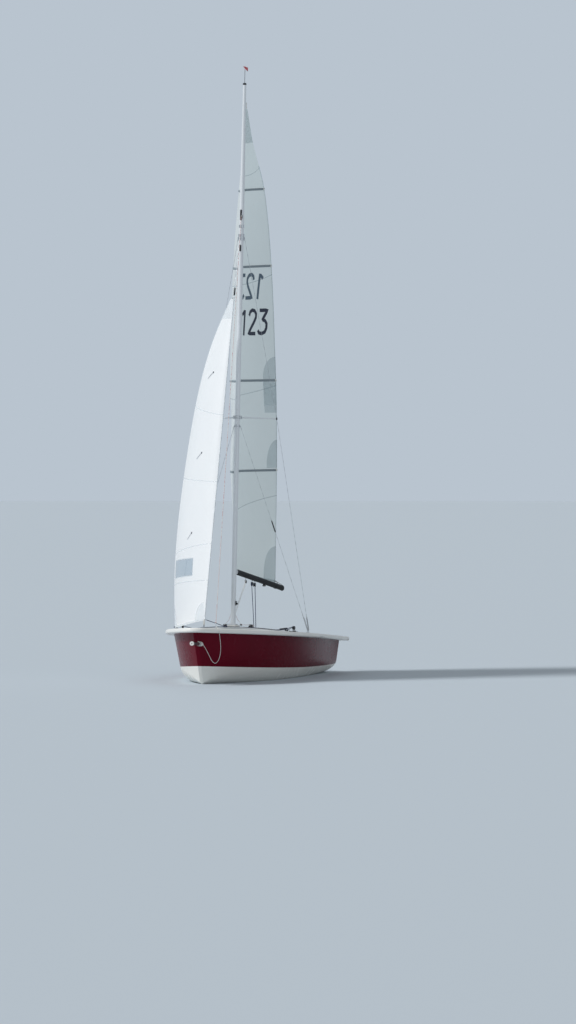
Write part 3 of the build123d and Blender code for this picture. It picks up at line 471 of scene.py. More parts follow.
def sailcloth(name, base, shade, glow, share, cover=1.0):
    """Woven polyester, filled and heat set: crisp, semi-matt, and aglow where the sun stands behind it."""
    tree, shader = surface(name, base, 0.5)
    cloth = add(tree, "ShaderNodeUVMap").outputs["UV"]
    # Handling creases, broad and shallow
    crease = add(tree, "ShaderNodeTexNoise", {"Vector": cloth, "Scale": per_metre(420), "Detail": 5.0,
                                              "Distortion": 0.6})
    # The creases' hollows take the shade colour: painted shade
    tone = add(tree, "ShaderNodeMix", {0: crease.outputs["Fac"], 6: colour(shade), 7: colour(base)},
               data_type="RGBA")
    tree.links.new(tone.outputs[2], shader.inputs["Base Color"])
    # Threads of 0.4 mm, drawn at 5 mm
    threads = add(tree, "ShaderNodeTexChecker", {"Vector": cloth, "Scale": per_metre(5)})
    weave = add(tree, "ShaderNodeBump", {"Height": threads.outputs["Fac"], "Strength": 0.05,
                                         "Distance": 0.0004})
    bump = add(tree, "ShaderNodeBump", {"Height": crease.outputs["Fac"], "Strength": 0.35, "Distance": 0.012,
                                        "Normal": weave.outputs["Normal"]})
    tree.links.new(bump.outputs["Normal"], shader.inputs["Normal"])
    # A second layer covers the first one only in part, as its own weave lets light between
    shader.inputs["Alpha"].default_value = cover
    lit = add(tree, "ShaderNodeBsdfTranslucent", {"Color": colour(glow), "Normal": bump.outputs["Normal"]})
    both = add(tree, "ShaderNodeMixShader", {0: share, 1: shader.outputs[0], 2: lit.outputs[0]})
    tree.links.new(both.outputs[0], tree.nodes["Material Output"].inputs["Surface"])


def window_film():
    """Clear polyester film with a faint blue cast: see-through, with a hard glare."""
    tree, shader = surface("clear_window_film", "#9fb4c4", 0.08)
    cloth = add(tree, "ShaderNodeUVMap").outputs["UV"]
    crease = add(tree, "ShaderNodeTexNoise", {"Vector": cloth, "Scale": per_metre(120), "Detail": 2.0})
    bump = add(tree, "ShaderNodeBump", {"Height": crease.outputs["Fac"], "Strength": 0.3, "Distance": 0.004})
    tree.links.new(bump.outputs["Normal"], shader.inputs["Normal"])
    shader.inputs["Alpha"].default_value = 0.45


def cut_cloth(name, base, second):
    """Adhesive or sewn polyester, cut to shape: flat and matt, a little uneven where it is stuck down."""
    tree, shader = surface(name, base, 0.6)
    cloth = add(tree, "ShaderNodeUVMap").outputs["UV"]
    lift = add(tree, "ShaderNodeTexNoise", {"Vector": cloth, "Scale": per_metre(80), "Detail": 3.0})
    tone = add(tree, "ShaderNodeMix", {0: lift.outputs["Fac"], 6: colour(base), 7: colour(second)},
               data_type="RGBA")
    tree.links.new(tone.outputs[2], shader.inputs["Base Color"])
    bump = add(tree, "ShaderNodeBump", {"Height": lift.outputs["Fac"], "Strength": 0.25, "Distance": 0.002})
    tree.links.new(bump.outputs["Normal"], shader.inputs["Normal"])


def braided_rope(name, base, fleck, share):
    """Braided polyester: plump strands that cross, some of them a second colour, matt with use."""
    tree, shader = surface(name, base, 0.8)
    cloth = add(tree, "ShaderNodeUVMap").outputs["UV"]
    # Strands of 2 mm, drawn at 9 mm along the rope, six round it
    turned = add(tree, "ShaderNodeMapping", {"Vector": cloth, "Rotation": (0, 0, tau / 8),
                                             "Scale": (per_metre(9), 6.0, 1.0)})
    cell = add(tree, "ShaderNodeTexVoronoi", {"Vector": turned.outputs[0], "Scale": 1.0, "Randomness": 0.0})
    dyed = add(tree, "ShaderNodeMath", {0: cell.outputs["Color"], 1: 1.0 - share}, operation="GREATER_THAN")
    tone = add(tree, "ShaderNodeMix", {0: dyed.outputs[0], 6: colour(base), 7: colour(fleck)},
               data_type="RGBA")
    tree.links.new(tone.outputs[2], shader.inputs["Base Color"])
    bump = add(tree, "ShaderNodeBump", {"Height": cell.outputs["Distance"], "Strength": 0.7,
                                        "Distance": 0.001}, invert=True)
    tree.links.new(bump.outputs["Normal"], shader.inputs["Normal"])


def webbing():
    """Woven polyester webbing: black, ribbed across, dusted grey where it has worn."""
    tree, shader = surface("woven_webbing", "#191a1e", 0.85)
    cloth = add(tree, "ShaderNodeUVMap").outputs["UV"]
    # A wave's crests are tau / 20 of its unit apart, which draws the ribs at 38 mm
    ribs = add(tree, "ShaderNodeTexWave", {"Vector": cloth, "Scale": per_metre(120)})
    worn = add(tree, "ShaderNodeTexNoise", {"Vector": cloth, "Scale": per_metre(90), "Detail": 4.0})
    tone = add(tree, "ShaderNodeMix", {0: worn.outputs["Fac"], 6: colour("#141519"), 7: colour("#34363b")},
               data_type="RGBA")
    tree.links.new(tone.outputs[2], shader.inputs["Base Color"])
    bump = add(tree, "ShaderNodeBump", {"Height": ribs.outputs["Fac"], "Strength": 0.5, "Distance": 0.001})
    tree.links.new(bump.outputs["Normal"], shader.inputs["Normal"])


hull_gelcoat()
deck_gelcoat()
non_slip_gelcoat()
anodised("clear_anodised_aluminium", "#dfe2e5", 0.36, 0.30, 0.5, 2)
anodised("black_anodised_aluminium", "#0c0d10", 0.55, 0.1, 0.06, 0)
stainless_wire()
stainless_fitting()
moulded_plastic("black_moulded_nylon", "#17181a", "#24262a", 0.45)
moulded_plastic("white_acetal", "#e4e4e0", "#d8d8d4", 0.35)
cap_and_vane()
moulded_plastic("closed_cell_foam_grip", "#202124", "#2b2d31", 0.9)
carbon_tube()
sailcloth("mainsail_cloth", "#eceff0", "#e3e8e9", "#bfcbcb", 0.38)
sailcloth("jib_cloth", "#f6f7f8", "#eff2f4", "#e6ebee", 0.22)
sailcloth("doubled_sailcloth", "#d3dbdf", "#c8d1d6", "#aebdc2", 0.16, 0.16)
sailcloth("jib_edge_cloth", "#eef0f2", "#e8ecee", "#dfe5e9", 0.2, 0.2)
# Grey pocket cloth: painted shade, as the white pockets look dark only against the light behind them
cut_cloth("batten_pocket_painted_shade", "#8d989e", "#7d888f")
cut_cloth("dark_adhesive_cloth", "#1f2536", "#2a3146")
# Blue-grey strokes that paint the shade of the numbers seen through the translucent cloth
cut_cloth("number_painted_shade", "#5b6d7c", "#526472")
cut_cloth("grey_yarn", "#8a939b", "#7b858e")
window_film()
braided_rope("red_fleck_halyard", "#dcdcd8", "#b5545c", 0.35)
braided_rope("white_braid", "#d9d9d4", "#b9bcbe", 0.2)
braided_rope("dark_blue_sheet", "#20294a", "#3a4a7a", 0.25)
braided_rope("black_braid", "#1c1d20", "#3b3d42", 0.2)
webbing()

# Floor at the water's level, wide enough to reach the horizon, and a plain pale surround
floor_mesh = bpy.data.meshes.new("floor")
floor_disc = bmesh.new()
bmesh.ops.create_circle(floor_disc, cap_ends=True, radius=600.0, segments=128)
floor_disc.to_mesh(floor_mesh)
floor_disc.free()
floor = bpy.data.objects.new("floor", floor_mesh)
bpy.context.scene.collection.objects.link(floor)
surface("pale_floor", "#bcc6ce", 0.7)
floor_mesh.materials.append(materials["pale_floor"])

world = bpy.data.worlds.new("surround")
world.use_nodes = True
bpy.context.scene.world = world
sky = world.node_tree
fill = sky.nodes["Background"]
fill.inputs["Color"].default_value = colour("#eef2f6")
fill.inputs["Strength"].default_value = 0.38
backdrop = add(sky, "ShaderNodeBackground", {"Color": colour("#b9c4cf"), "Strength": 1.0})
ray = add(sky, "ShaderNodeLightPath")
seen = add(sky, "ShaderNodeMath", {0: ray.outputs["Is Camera Ray"], 1: ray.outputs["Is Glossy Ray"]},
           operation="MAXIMUM")
seen = add(sky, "ShaderNodeMath", {0: seen.outputs[0], 1: ray.outputs["Is Transmission Ray"]},
           operation="MAXIMUM")
chosen = add(sky, "ShaderNodeMixShader", {0: seen.outputs[0], 1: fill.outputs[0], 2: backdrop.outputs[0]})
sky.links.new(chosen.outputs[0], sky.nodes["World Output"].inputs["Surface"])


def sun(name, strength, width, bearing, height):
    """Wide soft sun from a compass bearing off the bow, positive to port, and a height in degrees."""
    data = bpy.data.lights.new(name, "SUN")
    data.energy = strength
    data.angle = radians(width)
    lamp = bpy.data.objects.new(name, data)
    lamp.matrix_world = towards(bearing, height).to_track_quat("Z", "Y").to_matrix().to_4x4()
    bpy.context.scene.collection.objects.link(lamp)


sun("key", 2.5, 15.0, -57.0, 42.0)
sun("fill", 0.2, 60.0, 55.0, 30.0)


# Tack line, in a slack loop from the bowsprit's hitch over the gunwale to its pad eye
tack_route = [
    (2.3499, 0.0703, 0.5539), (2.3499, 0.1060, 0.5539), (2.3320, 0.1300, 0.5050), (2.3000, 0.1600, 0.4400),
    (2.2810, 0.1910, 0.3630), (2.2640, 0.2200, 0.3060), (2.2480, 0.2500, 0.2880), (2.2280, 0.2840, 0.3180),
    (2.2120, 0.3050, 0.3850), (2.2050, 0.3140, 0.4620), (2.2020, 0.3120, 0.5450), (2.2020, 0.3030, 0.6220),
    (2.2030, 0.2940, 0.6950), (2.2030, 0.2910, 0.7600), (2.1720, 0.2545, 0.7620), (2.1480, 0.2370, 0.7660),
]
hitch_place = Vector((2.3499, 0.045, 0.5539))
tack_radius = 0.003
tack_points = nurbs_points(tack_route)
tack_shape = Shape()
tack_shape.tube(tack_points, tack_radius, sides=10)
tack_line = tack_shape.make("tack_line_rope", "white_braid", None)
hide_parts("tack_line")
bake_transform(tack_line)


def camber_curve(s, draft):
    """Depth of an arched section along its chord, 1 at the draft and 0 at both edges."""
    t = s ** (log(0.5) / log(draft))
    return 4 * t * (1 - t)


def row_at(rows, up):
    """A sail's section at a height, on a smooth cubic curve through its rows."""
    last = len(rows) - 1
    i = max(k for k in range(last) if k == 0 or up >= rows[k][0])
    step = rows[i + 1][0] - rows[i][0]
    u = (up - rows[i][0]) / step
    values = []
    for column in range(1, len(rows[0])):
        def slope(k):
            low, high = max(k - 1, 0), min(k + 1, last)
            return (rows[high][column] - rows[low][column]) / (rows[high][0] - rows[low][0])
        values.append((1 + 2 * u) * (1 - u) ** 2 * rows[i][column] + u * (1 - u) ** 2 * step * slope(i)
                      + u * u * (3 - 2 * u) * rows[i + 1][column] - u * u * (1 - u) * step * slope(i + 1))
    return values


# Mainsail. Columns: height above the gooseneck, chord, rise to the leech for each metre, angle off the
# centreline in degrees, camber as a share of the chord.
main_foot, main_head, main_draft = 0.0395, 6.42, 0.465
main_rows = [
    (main_foot, 2.37, -0.0244, 1.6, 0.055),
    (1.37, 2.39, 0.096, 2.0, 0.125),
    (2.10, 2.35, 0.102, 2.2, 0.126),
    (2.63, 2.29, 0.109, 2.4, 0.144),
    (4.19, 1.96, 0.151, 3.2, 0.145),
    (5.27, 1.45, 0.170, 4.0, 0.120),
    (5.95, 0.62, 0.190, 5.0, 0.090),
    (6.44, 0.14, 0.200, 5.0, 0.030),
]
batten_heights = (1.37, 2.63, 4.19, 5.27)

# Jib. Columns: distance up the forestay, chord, fall to the leech for each metre, angle off the centreline in
# degrees, camber. Its foot hangs in a round, which fades out up the sail.
jib_foot, jib_head, jib_draft = 0.054, 4.669, 0.42
jib_foot_round, jib_round_fades = 0.025, 0.6
jib_rows = [
    (0.110, 1.610, 0.105, 31.0, 0.06),
    (0.906, 1.414, 0.070, 36.0, 0.10),
    (2.045, 1.075, 0.035, 42.0, 0.12),
    (3.182, 0.777, 0.000, 46.0, 0.12),
    (3.995, 0.454, -0.017, 50.0, 0.10),
    (jib_head, 0.080, -0.017, 52.0, 0.05),
]


def section(s, chord, angle, camber, draft):
    """Distances aft and to starboard of a point on an arched section that is turned off the centreline."""
    turn, depth = radians(angle), camber * chord * camber_curve(s, draft)
    return (cos(turn) * chord * s - sin(turn) * depth,
            sin(turn) * chord * s + cos(turn) * depth)


def main_cloth(s, up):
    """Point of the mainsail at a share of its chord and a height above the gooseneck."""
    chord, rise, angle, camber = row_at(main_rows, up)
    back, side = section(s, chord, angle, camber, main_draft)
    return neck + mast_up * (up + rise * chord * s) - mast_forward * back - Y * side


def jib_cloth(s, up):
    """Point of the jib at a share of its chord and a distance up the forestay."""
    chord, fall, angle, camber = row_at(jib_rows, up)
    back, side = section(s, chord, angle, camber, jib_draft)
    round_out = jib_foot_round * 4 * s * (1 - s) * max(0.0, 1.0 - up / jib_round_fades)
    return stay_foot + stay_along * up - X * back - Z * (fall * back + round_out) - Y * side


def cloth_normal(cloth, s, up):
    """Unit normal of a sail, towards port."""
    s = min(max(s, 0.02), 0.98)
    along = cloth(s + 0.01, up) - cloth(s - 0.01, up)
    rising = cloth(s, up + 0.01) - cloth(s, up - 0.01)
    normal = along.cross(rising).normalized()
    return normal if normal.y > 0 else -normal


def chord_of(cloth, up):
    """Chord of a sail at a height."""
    return row_at(main_rows if cloth is main_cloth else jib_rows, up)[0]


def cloth_skin(shape, cloth, shares, heights, lift=0.0, hole=None):
    """Grid of a sail's surface over shares of the chord and heights, stood off by lift towards port."""
    rows, places = [], []
    for up in heights:
        chord = chord_of(cloth, up)
        rows.append([cloth(s, up) + (cloth_normal(cloth, s, up) * lift if lift else Vector())
                     for s in shares])
        places.append([(s * chord, up) for s in shares])
    shape.grid(rows, places, hole=hole)


def cloth_strip(shape, cloth, route, width, lift, bulge=0.0, across=4):
    """Band of cloth laid along a route of (share, height), on the side that lift's sign gives."""
    points = [cloth(s, up) for s, up in route]
    rows, places, run = [], [], 0.0
    for i, (at, (s, up)) in enumerate(zip(points, route)):
        ahead = (points[min(i + 1, len(points) - 1)] - points[max(i - 1, 0)]).normalized()
        normal = cloth_normal(cloth, s, up)
        side = normal.cross(ahead)
        run += (at - points[i - 1]).length if i else 0.0
        row, place = [], []
        for k in range(across + 1):
            t = k / across - 0.5
            stand = lift + (bulge if lift > 0 else -bulge) * (1 - 4 * t * t)
            row.append(at + side * (t * width) + normal * stand)
            place.append((run, t * width))
        rows.append(row)
        places.append(place)
    shape.grid(rows, places)


def corner_patch(shape, cloth, corner, reach, start, end, lift):
    """Fan of doubled cloth about a corner, over a range of angles from the chord, up positive, in degrees."""
    s0, up0 = corner
    rows, places = [], []
    for r in spread(0.02, 1.0, 7):
        row, place = [], []
        for turn in spread(radians(start), radians(end), 14):
            up = up0 + reach * r * sin(turn)
            s = min(max(s0 + reach * r * cos(turn) / chord_of(cloth, up), 0.002), 0.998)
            row.append(cloth(s, up) + cloth_normal(cloth, s, up) * lift)
            place.append((reach * r * cos(turn), reach * r * sin(turn)))
        rows.append(row)
        places.append(place)
    shape.grid(rows, places)


def leech_shade_patch(shape, low, knee, high, width, lift):
    """Patch of painted shade at the mainsail's leech, laid as doubled cloth, straight up to its knee and then
    arched in to the edge.
    """
    rows, places = [], []
    arch = [(knee + (high - knee) * sin(t), width * cos(t)) for t in spread(0, 1.54, 10)]
    for up, wide in [(low, width)] + arch:
        chord = chord_of(main_cloth, up)
        shares = spread(1.0 - wide / chord, 0.999, 6)
        rows.append([main_cloth(s, up) + cloth_normal(main_cloth, s, up) * lift for s in shares])
        places.append([(s * chord, up) for s in shares])
    shape.grid(rows, places)


main_shape = Shape()
cloth_skin(main_shape, main_cloth, spread(0.0, 1.0, 44), spread(main_foot, main_head, 96))
mainsail = main_shape.make("mainsail_cloth", "mainsail_cloth", "boom", closed=False, slot="mainsail_cloth")
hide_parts("mainsail")

# Doubled edges, seams and corner patches of the mainsail, and two patches of painted shade at its leech, on
# both faces, each layer a little further out
seam_lift, edge_lift, patch_lift = 0.0008, 0.0012, 0.0016
main_trim = Shape()
# Seams. Columns: height at the luff, slope along the chord and curl at the leech
main_seams = ((5.53, -0.145, 0.185), (3.95, -0.049, 0.169), (2.37, 0.082, 0.108), (0.71, 0.376, -0.026))
for luff, slope, curl in main_seams:
    route = [(s, luff + slope * s + curl * s ** 4) for s in spread(0.0, 1.0, 40)]
    for lift in (seam_lift, -seam_lift):
        cloth_strip(main_trim, main_cloth, route, 0.012, lift)
# Bands along the luff, the leech and the foot. Columns: route and width
main_bands = (
    ([(0.012, up) for up in spread(0.05, 6.40, 90)], 0.045),
    ([(0.995, up) for up in spread(0.05, 5.60, 90)], 0.018),
    ([(s, 0.058) for s in spread(0.01, 0.99, 40)], 0.030),
)
for lift in (edge_lift, -edge_lift):
    for route, width in main_bands:
        cloth_strip(main_trim, main_cloth, route, width, lift)
for lift in (patch_lift, -patch_lift):
    corner_patch(main_trim, main_cloth, (1.0, 0.045), 0.42, 90, 178, lift)
    corner_patch(main_trim, main_cloth, (0.0, 0.045), 0.30, 2, 86, lift)
    # Two darker arched patches at the leech: painted shade where shadows fell on the backlit sail, laid as
    # doubled cloth
    leech_shade_patch(main_trim, 2.18, 2.66, 2.95, 0.276, lift)
    leech_shade_patch(main_trim, 1.40, 1.42, 1.79, 0.235, lift)
    cloth_skin(main_trim, main_cloth, spread(0.01, 0.99, 10), spread(5.93, 6.415, 12), lift)
main_trim.make("mainsail_edges_and_patches", "doubled_sailcloth", "boom", closed=False, slot="mainsail_cloth")

# Full-length battens in their pockets, each swelling both faces; the pockets' grey is painted shade, for
# white cloth that shows dark only against the light behind it
pockets = Shape()
for up in batten_heights:
    for lift in (0.002, -0.002):
        route = [(s, up) for s in spread(0.004, 0.999, 48)]
        cloth_strip(pockets, main_cloth, route, 0.031, lift, bulge=0.006, across=6)
pockets.make("mainsail_batten_pockets", "batten_pocket_painted_shade", "boom", closed=False, slot="mainsail_cloth")

# Boxes that hold the battens' ends, by their distance in from the luff and the leech
batten_ends = Shape()
for up in batten_heights:
    for s, reach in ((0.0, 0.027), (1.0, 0.012)):
        place = main_cloth(s, up)
        inward = (main_cloth(abs(s - 0.02), up) - place).normalized()
        batten_ends.seat = seat(place + inward * reach, Y, inward)
        batten_ends.slab(rounded(0.046, 0.036, 0.008), 0.016, 0.003, low=-0.008)
batten_ends.make("mainsail_batten_boxes", "white_acetal", "boom")

# Numbers as sailmakers cut them: strokes of adhesive cloth in a box 0.6 wide and 1 high
digit_pitch, stroke_width = 0.70, 0.14
digit_strokes = {
    "1": [[(0.12, 0.78), (0.34, 0.94), (0.34, 0.0)]],
    "2": [[(0.02, 0.74), (0.08, 0.88), (0.22, 0.95), (0.40, 0.92), (0.52, 0.80), (0.52, 0.66), (0.42, 0.50),
           (0.04, 0.06), (0.56, 0.06)]],
    "3": [[(0.04, 0.93), (0.52, 0.93), (0.26, 0.57), (0.42, 0.54), (0.53, 0.42), (0.54, 0.26), (0.46, 0.11),
           (0.28, 0.05), (0.10, 0.08), (0.02, 0.18)]],
}


def sail_number(shape, text, back, up, height, reading, lift):
    """Digits on one face of the mainsail: distance aft of the luff, height, way of reading and stand-off."""
    for index, digit in enumerate(text):
        for stroke in digit_strokes[digit]:
            corners = [((index * digit_pitch + a) * height, b * height) for a, b in stroke]
            route = []
            for (a0, b0), (a1, b1) in zip(corners[:-1], corners[1:]):
                for t in spread(0.0, 1.0, 5)[:-1]:
                    route.append((a0 + (a1 - a0) * t, b0 + (b1 - b0) * t))
            route.append(corners[-1])
            laid = [((back + reading * a) / chord_of(main_cloth, up + b), up + b) for a, b in route]
            cloth_strip(shape, main_cloth, laid, stroke_width * height, lift)


# Each number, and blue-grey strokes of painted shade on the cloth's other face where it shows through.
# Columns: distance aft of the luff, height and way of reading, 1 on the port face and -1 on the starboard one
numbers, painted_number_shadows = Shape(), Shape()
for back, up, reading in ((1.30, 3.25, 1), (1.86, 3.74, -1)):
    sail_number(numbers, "123", back, up, 0.36, reading, reading * 0.0022)
    sail_number(painted_number_shadows, "123", back, up, 0.36, reading, reading * -0.0016)
numbers.make("mainsail_numbers", "dark_adhesive_cloth", "boom", closed=False)
painted_number_shadows.make("mainsail_numbers_painted_shade", "number_painted_shade", "boom", closed=False)

# Luff tape, held in the mast's groove while the sail turns behind it
tape = Shape()
tape_heights, tape_shares = spread(0.06, main_head, 40), (0.0, 0.5, 1.0)
for side in (0.003, -0.003):
    rows = [[on_mast(up, -neck_back + t * (neck_back - mast_half_depth(up) + 0.002), side)
             for t in tape_shares] for up in tape_heights]
    tape.grid(rows, [[(t * 0.02, up) for t in tape_shares] for up in tape_heights])
tape.make("mainsail_luff_tape", "doubled_sailcloth", "root", closed=False, slot="mainsail_cloth")

# Jib, with a hole for its window
window_fore, window_aft, window_low, window_high = 0.24, 0.86, 0.70, 0.94
jib_shares = (spread(0.0, window_fore, 8) + spread(window_fore, window_aft, 16)[1:]
              + spread(window_aft, 1.0, 5)[1:])
jib_heights = (spread(jib_foot, window_low, 10) + spread(window_low, window_high, 5)[1:]
               + spread(window_high, jib_head, 56)[1:])


def in_window(i, j):
    """Whether the square of the jib's grid above row i and aft of column j lies in the window."""
    hair = 0.001
    return (window_low - hair < jib_heights[i] < window_high - hair
            and window_fore - hair < jib_shares[j] < window_aft - hair)


jib_shape = Shape()
cloth_skin(jib_shape, jib_cloth, jib_shares, jib_heights, hole=in_window)
jib = jib_shape.make("jib_cloth", "jib_cloth", "root", closed=False, slot="jib_cloth")
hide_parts("jib_sail")

# The film laps over the cloth round the hole
film = Shape()
cloth_skin(film, jib_cloth, spread(window_fore - 0.005, window_aft + 0.005, 18),
           spread(window_low - 0.008, window_high + 0.008, 7), 0.0006)
film.make("jib_window", "clear_window_film", "root", closed=False)

# Doubled cloth of the jib: window's rim, leech, foot and panel seams
window_rim = ([(s, window_low) for s in spread(window_fore, window_aft, 14)]
              + [(window_aft, up) for up in spread(window_low, window_high, 6)[1:]]
              + [(s, window_high) for s in spread(window_aft, window_fore, 14)[1:]]
              + [(window_fore, up) for up in spread(window_high, window_low, 6)[1:]])
jib_bands = [
    (window_rim, 0.024),
    ([(0.99, up) for up in spread(jib_foot + 0.02, 4.6, 70)], 0.024),
    ([(s, jib_foot + 0.014) for s in spread(0.01, 0.99, 30)], 0.026),
]
# Seams, by their heights at the luff and the leech
for luff, leech in ((2.98, 3.12), (2.02, 2.10), (1.14, 1.02), (0.62, 0.62)):
    jib_bands.append(([(s, luff + (leech - luff) * s) for s in spread(0, 1, 24)], 0.014))
jib_trim = Shape()
for lift in (0.0012, -0.0012):
    for route, width in jib_bands:
        cloth_strip(jib_trim, jib_cloth, route, width, lift)
for lift in (0.0018, -0.0018):
    corner_patch(jib_trim, jib_cloth, (1.0, jib_foot + 0.005), 0.30, 92, 178, lift)
    corner_patch(jib_trim, jib_cloth, (0.0, jib_foot + 0.005), 0.26, 2, 80, lift)
    cloth_skin(jib_trim, jib_cloth, spread(0.02, 0.98, 8), spread(4.38, 4.66, 8), lift)
jib_trim.make("jib_edges_and_patches", "jib_edge_cloth", "root", closed=False, slot="jib_cloth")

# Luff sleeve of the jib, zipped round the forestay
sleeve = Shape()
sleeve_path = line(stay_foot + stay_along * jib_foot, stay_foot + stay_along * 4.70, 40)
sleeve.tube(sleeve_path, 0.0075, sides=10)
sleeve.make("jib_luff_sleeve", "jib_edge_cloth", "root", slot="jib_cloth")

# Telltales: a small square patch, and yarn that trails aft and down from it
telltales, patches = Shape(), Shape()
patch_size, yarn_back, yarn_down = 0.024, 0.11, 0.09
for s, up in ((0.385, 3.60), (0.325, 2.44), (0.32, 1.30)):
    chord = chord_of(jib_cloth, up)
    patch = [(s + patch_size * t / chord, up) for t in spread(-0.5, 0.5, 4)]
    yarn = [(s + yarn_back * t / chord, up - yarn_down * t) for t in spread(0, 1, 6)]
    for lift in (0.003, -0.003):
        cloth_strip(patches, jib_cloth, patch, patch_size, lift)
        cloth_strip(telltales, jib_cloth, yarn, 0.007, 1.6 * lift, across=2)
patches.make("jib_telltale_patches", "dark_adhesive_cloth", "root", closed=False)
telltales.make("jib_telltales", "grey_yarn", "root", closed=False)


def outline_area(cloth, shares, heights):
    """Area of a sail's cloth over its grid."""
    total = 0.0
    for low, high in zip(heights[:-1], heights[1:]):
        for a, b in zip(shares[:-1], shares[1:]):
            corner = cloth(a, low)
            total += (cloth(b, high) - corner).cross(cloth(a, high) - corner).length / 2
            total += (cloth(b, low) - corner).cross(cloth(b, high) - corner).length / 2
    return total


main_area = outline_area(main_cloth, spread(0.0, 1.0, 12), spread(main_foot, main_head, 40))
window_area = outline_area(jib_cloth, spread(window_fore, window_aft, 8), spread(window_low, window_high, 4))
jib_area = outline_area(jib_cloth, spread(0.0, 1.0, 12), spread(jib_foot, jib_head, 40)) - window_area


def shifted(base, x, y=0.0, z=0.0):
    """A seat moved by distances along its own axes."""
    return base @ Matrix.Translation((x, y, z))


def pulley(dark, metal, place, axle, head, size):
    """Block of two cheeks and a grooved sheave of a radius, with a shackle at its head."""
    base = seat(place, axle, head)
    cheek = [(1.25 * size * cos(t), 1.04 * size * sin(t)) for t in spread(0, tau, 24)[:-1]]
    dark.seat = base
    for low in (-0.56, 0.38):
        dark.slab(cheek, 0.18 * size, 0.05 * size, low * size)
    dark.turned([(0.2 * size, -0.34 * size), (0.92 * size, -0.34 * size), (0.72 * size, 0.0),
                 (0.92 * size, 0.34 * size), (0.2 * size, 0.34 * size)], 24)
    metal.seat = base
    metal.turned([(0.14 * size, -0.64 * size), (0.24 * size, -0.6 * size), (0.24 * size, 0.6 * size),
                  (0.14 * size, 0.64 * size)], 12)
    bend = [(1.45 * size + 0.34 * size * sin(t), 0, -0.34 * size * cos(t)) for t in spread(0, tau / 2, 8)]
    metal.tube([(0.95 * size, 0, -0.3 * size), (1.35 * size, 0, -0.34 * size)] + bend
               + [(1.35 * size, 0, 0.34 * size), (0.95 * size, 0, 0.3 * size)], 0.09 * size, 6)


def cam_cleat(dark, metal, place, up, load):
    """Cam cleat 62 mm long: two toothed cams on a base and a wire fairlead on the side of its load."""
    base = seat(place, up, load)
    dark.seat = base
    dark.slab(rounded(0.062, 0.032, 0.008), 0.010, 0.002)
    for side in (-1, 1):
        dark.seat = shifted(base, -0.006, side * 0.0125, 0.011)
        dark.slab([((0.0105 + 0.0012 * cos(9 * t)) * cos(t), (0.0105 + 0.0012 * cos(9 * t)) * sin(t))
                   for t in spread(0, tau, 54)[:-1]], 0.016, 0.001)
        metal.seat = shifted(base, -0.006, side * 0.0125, 0.027)
        metal.turned([(0.0045, 0.0), (0.0045, 0.0014), (0.003, 0.0026)], 12)
    metal.seat = base
    metal.tube([(0.024, 0.013 * cos(t), 0.008 + 0.022 * sin(t)) for t in spread(0, tau / 2, 12)], 0.002, 6)


def screw(metal, place, up, radius):
    """Pan head of a screw."""
    metal.seat = seat(place, up)
    metal.turned([(radius, -0.001), (radius, 0.0006), (0.72 * radius, 0.0018), (0.3 * radius, 0.0021)], 10)


def eye_strap(metal, place, up, along, reach):
    """Bent rod on two feet, standing off a surface by its reach."""
    metal.seat = seat(place, up, along)
    metal.tube([(reach * cos(t), 0, reach * sin(t)) for t in spread(0, tau / 2, 12)], 0.0022, 8)
    for side in (-1, 1):
        metal.seat = shifted(seat(place, up, along), side * 1.5 * reach)
        metal.slab(rounded(1.1 * reach, 0.8 * reach, 0.3 * reach), 0.002, 0.0005)


def ring(metal, place, axis, radius, wire):
    """Ring of wire about an axis."""
    metal.seat = seat(place, axis)
    metal.tube([(radius * cos(t), radius * sin(t), 0) for t in spread(0, tau, 24)], wire, 8)


def stopper_knot(shape, place, along, rope):
    """Rope drawn up in a three-lobed knot about its own line."""
    shape.seat = seat(place, along)
    shape.tube([(0.75 * rope * (sin(t) + 2 * sin(2 * t)), 0.75 * rope * (cos(t) - 2 * cos(2 * t)),
                 -1.3 * rope * sin(3 * t)) for t in spread(0, tau, 40)], rope)
    shape.seat = Matrix()


def strap(shape, path, width, thickness, up):
    """Flat band along a path, its width square to up."""
    path = [Vector(point) for point in path]
    rows, places, run = [], [], 0.0
    for i, at in enumerate(path):
        ahead = (path[min(i + 1, len(path) - 1)] - path[max(i - 1, 0)]).normalized()
        side = ahead.cross(up(i) if callable(up) else Vector(up)).normalized()
        face = side.cross(ahead)
        run += (at - path[i - 1]).length if i else 0.0
        rows.append([at + side * (a * width / 2) + face * (b * thickness / 2)
                     for a, b in ((1, 1), (-1, 1), (-1, -1), (1, -1))])
        places.append([(run, a * width / 2) for a in (1, -1, -1, 1, 1)])
    shape.grid(rows, places, wrap=True, caps=True)


def wire_ends(name):
    """Lowest and highest point of a wire's solid on its centreline."""
    low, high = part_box(name)
    mesh = nodes[name].data
    ends = []
    for level in (low[2], high[2]):
        near = [vertex.co for vertex in mesh.vertices if abs(vertex.co.z - level) < 0.004]
        ends.append(sum(near, Vector()) / len(near))
    return ends


# Standing rigging's ends: swaged studs, adjuster plates and pins, from the wires' own lines
rig_metal, rig_dark = Shape(), Shape()


def adjuster_plates(middle, across, along, length):
    """Two plates with a gap between them, in which the ends of a wire and its chainplate sit."""
    for offset in (-0.0055, 0.0040):
        rig_metal.seat = seat(middle + across * offset, across, along)
        rig_metal.slab(rounded(length, 0.014, 0.0065), 0.0016, 0.0004)


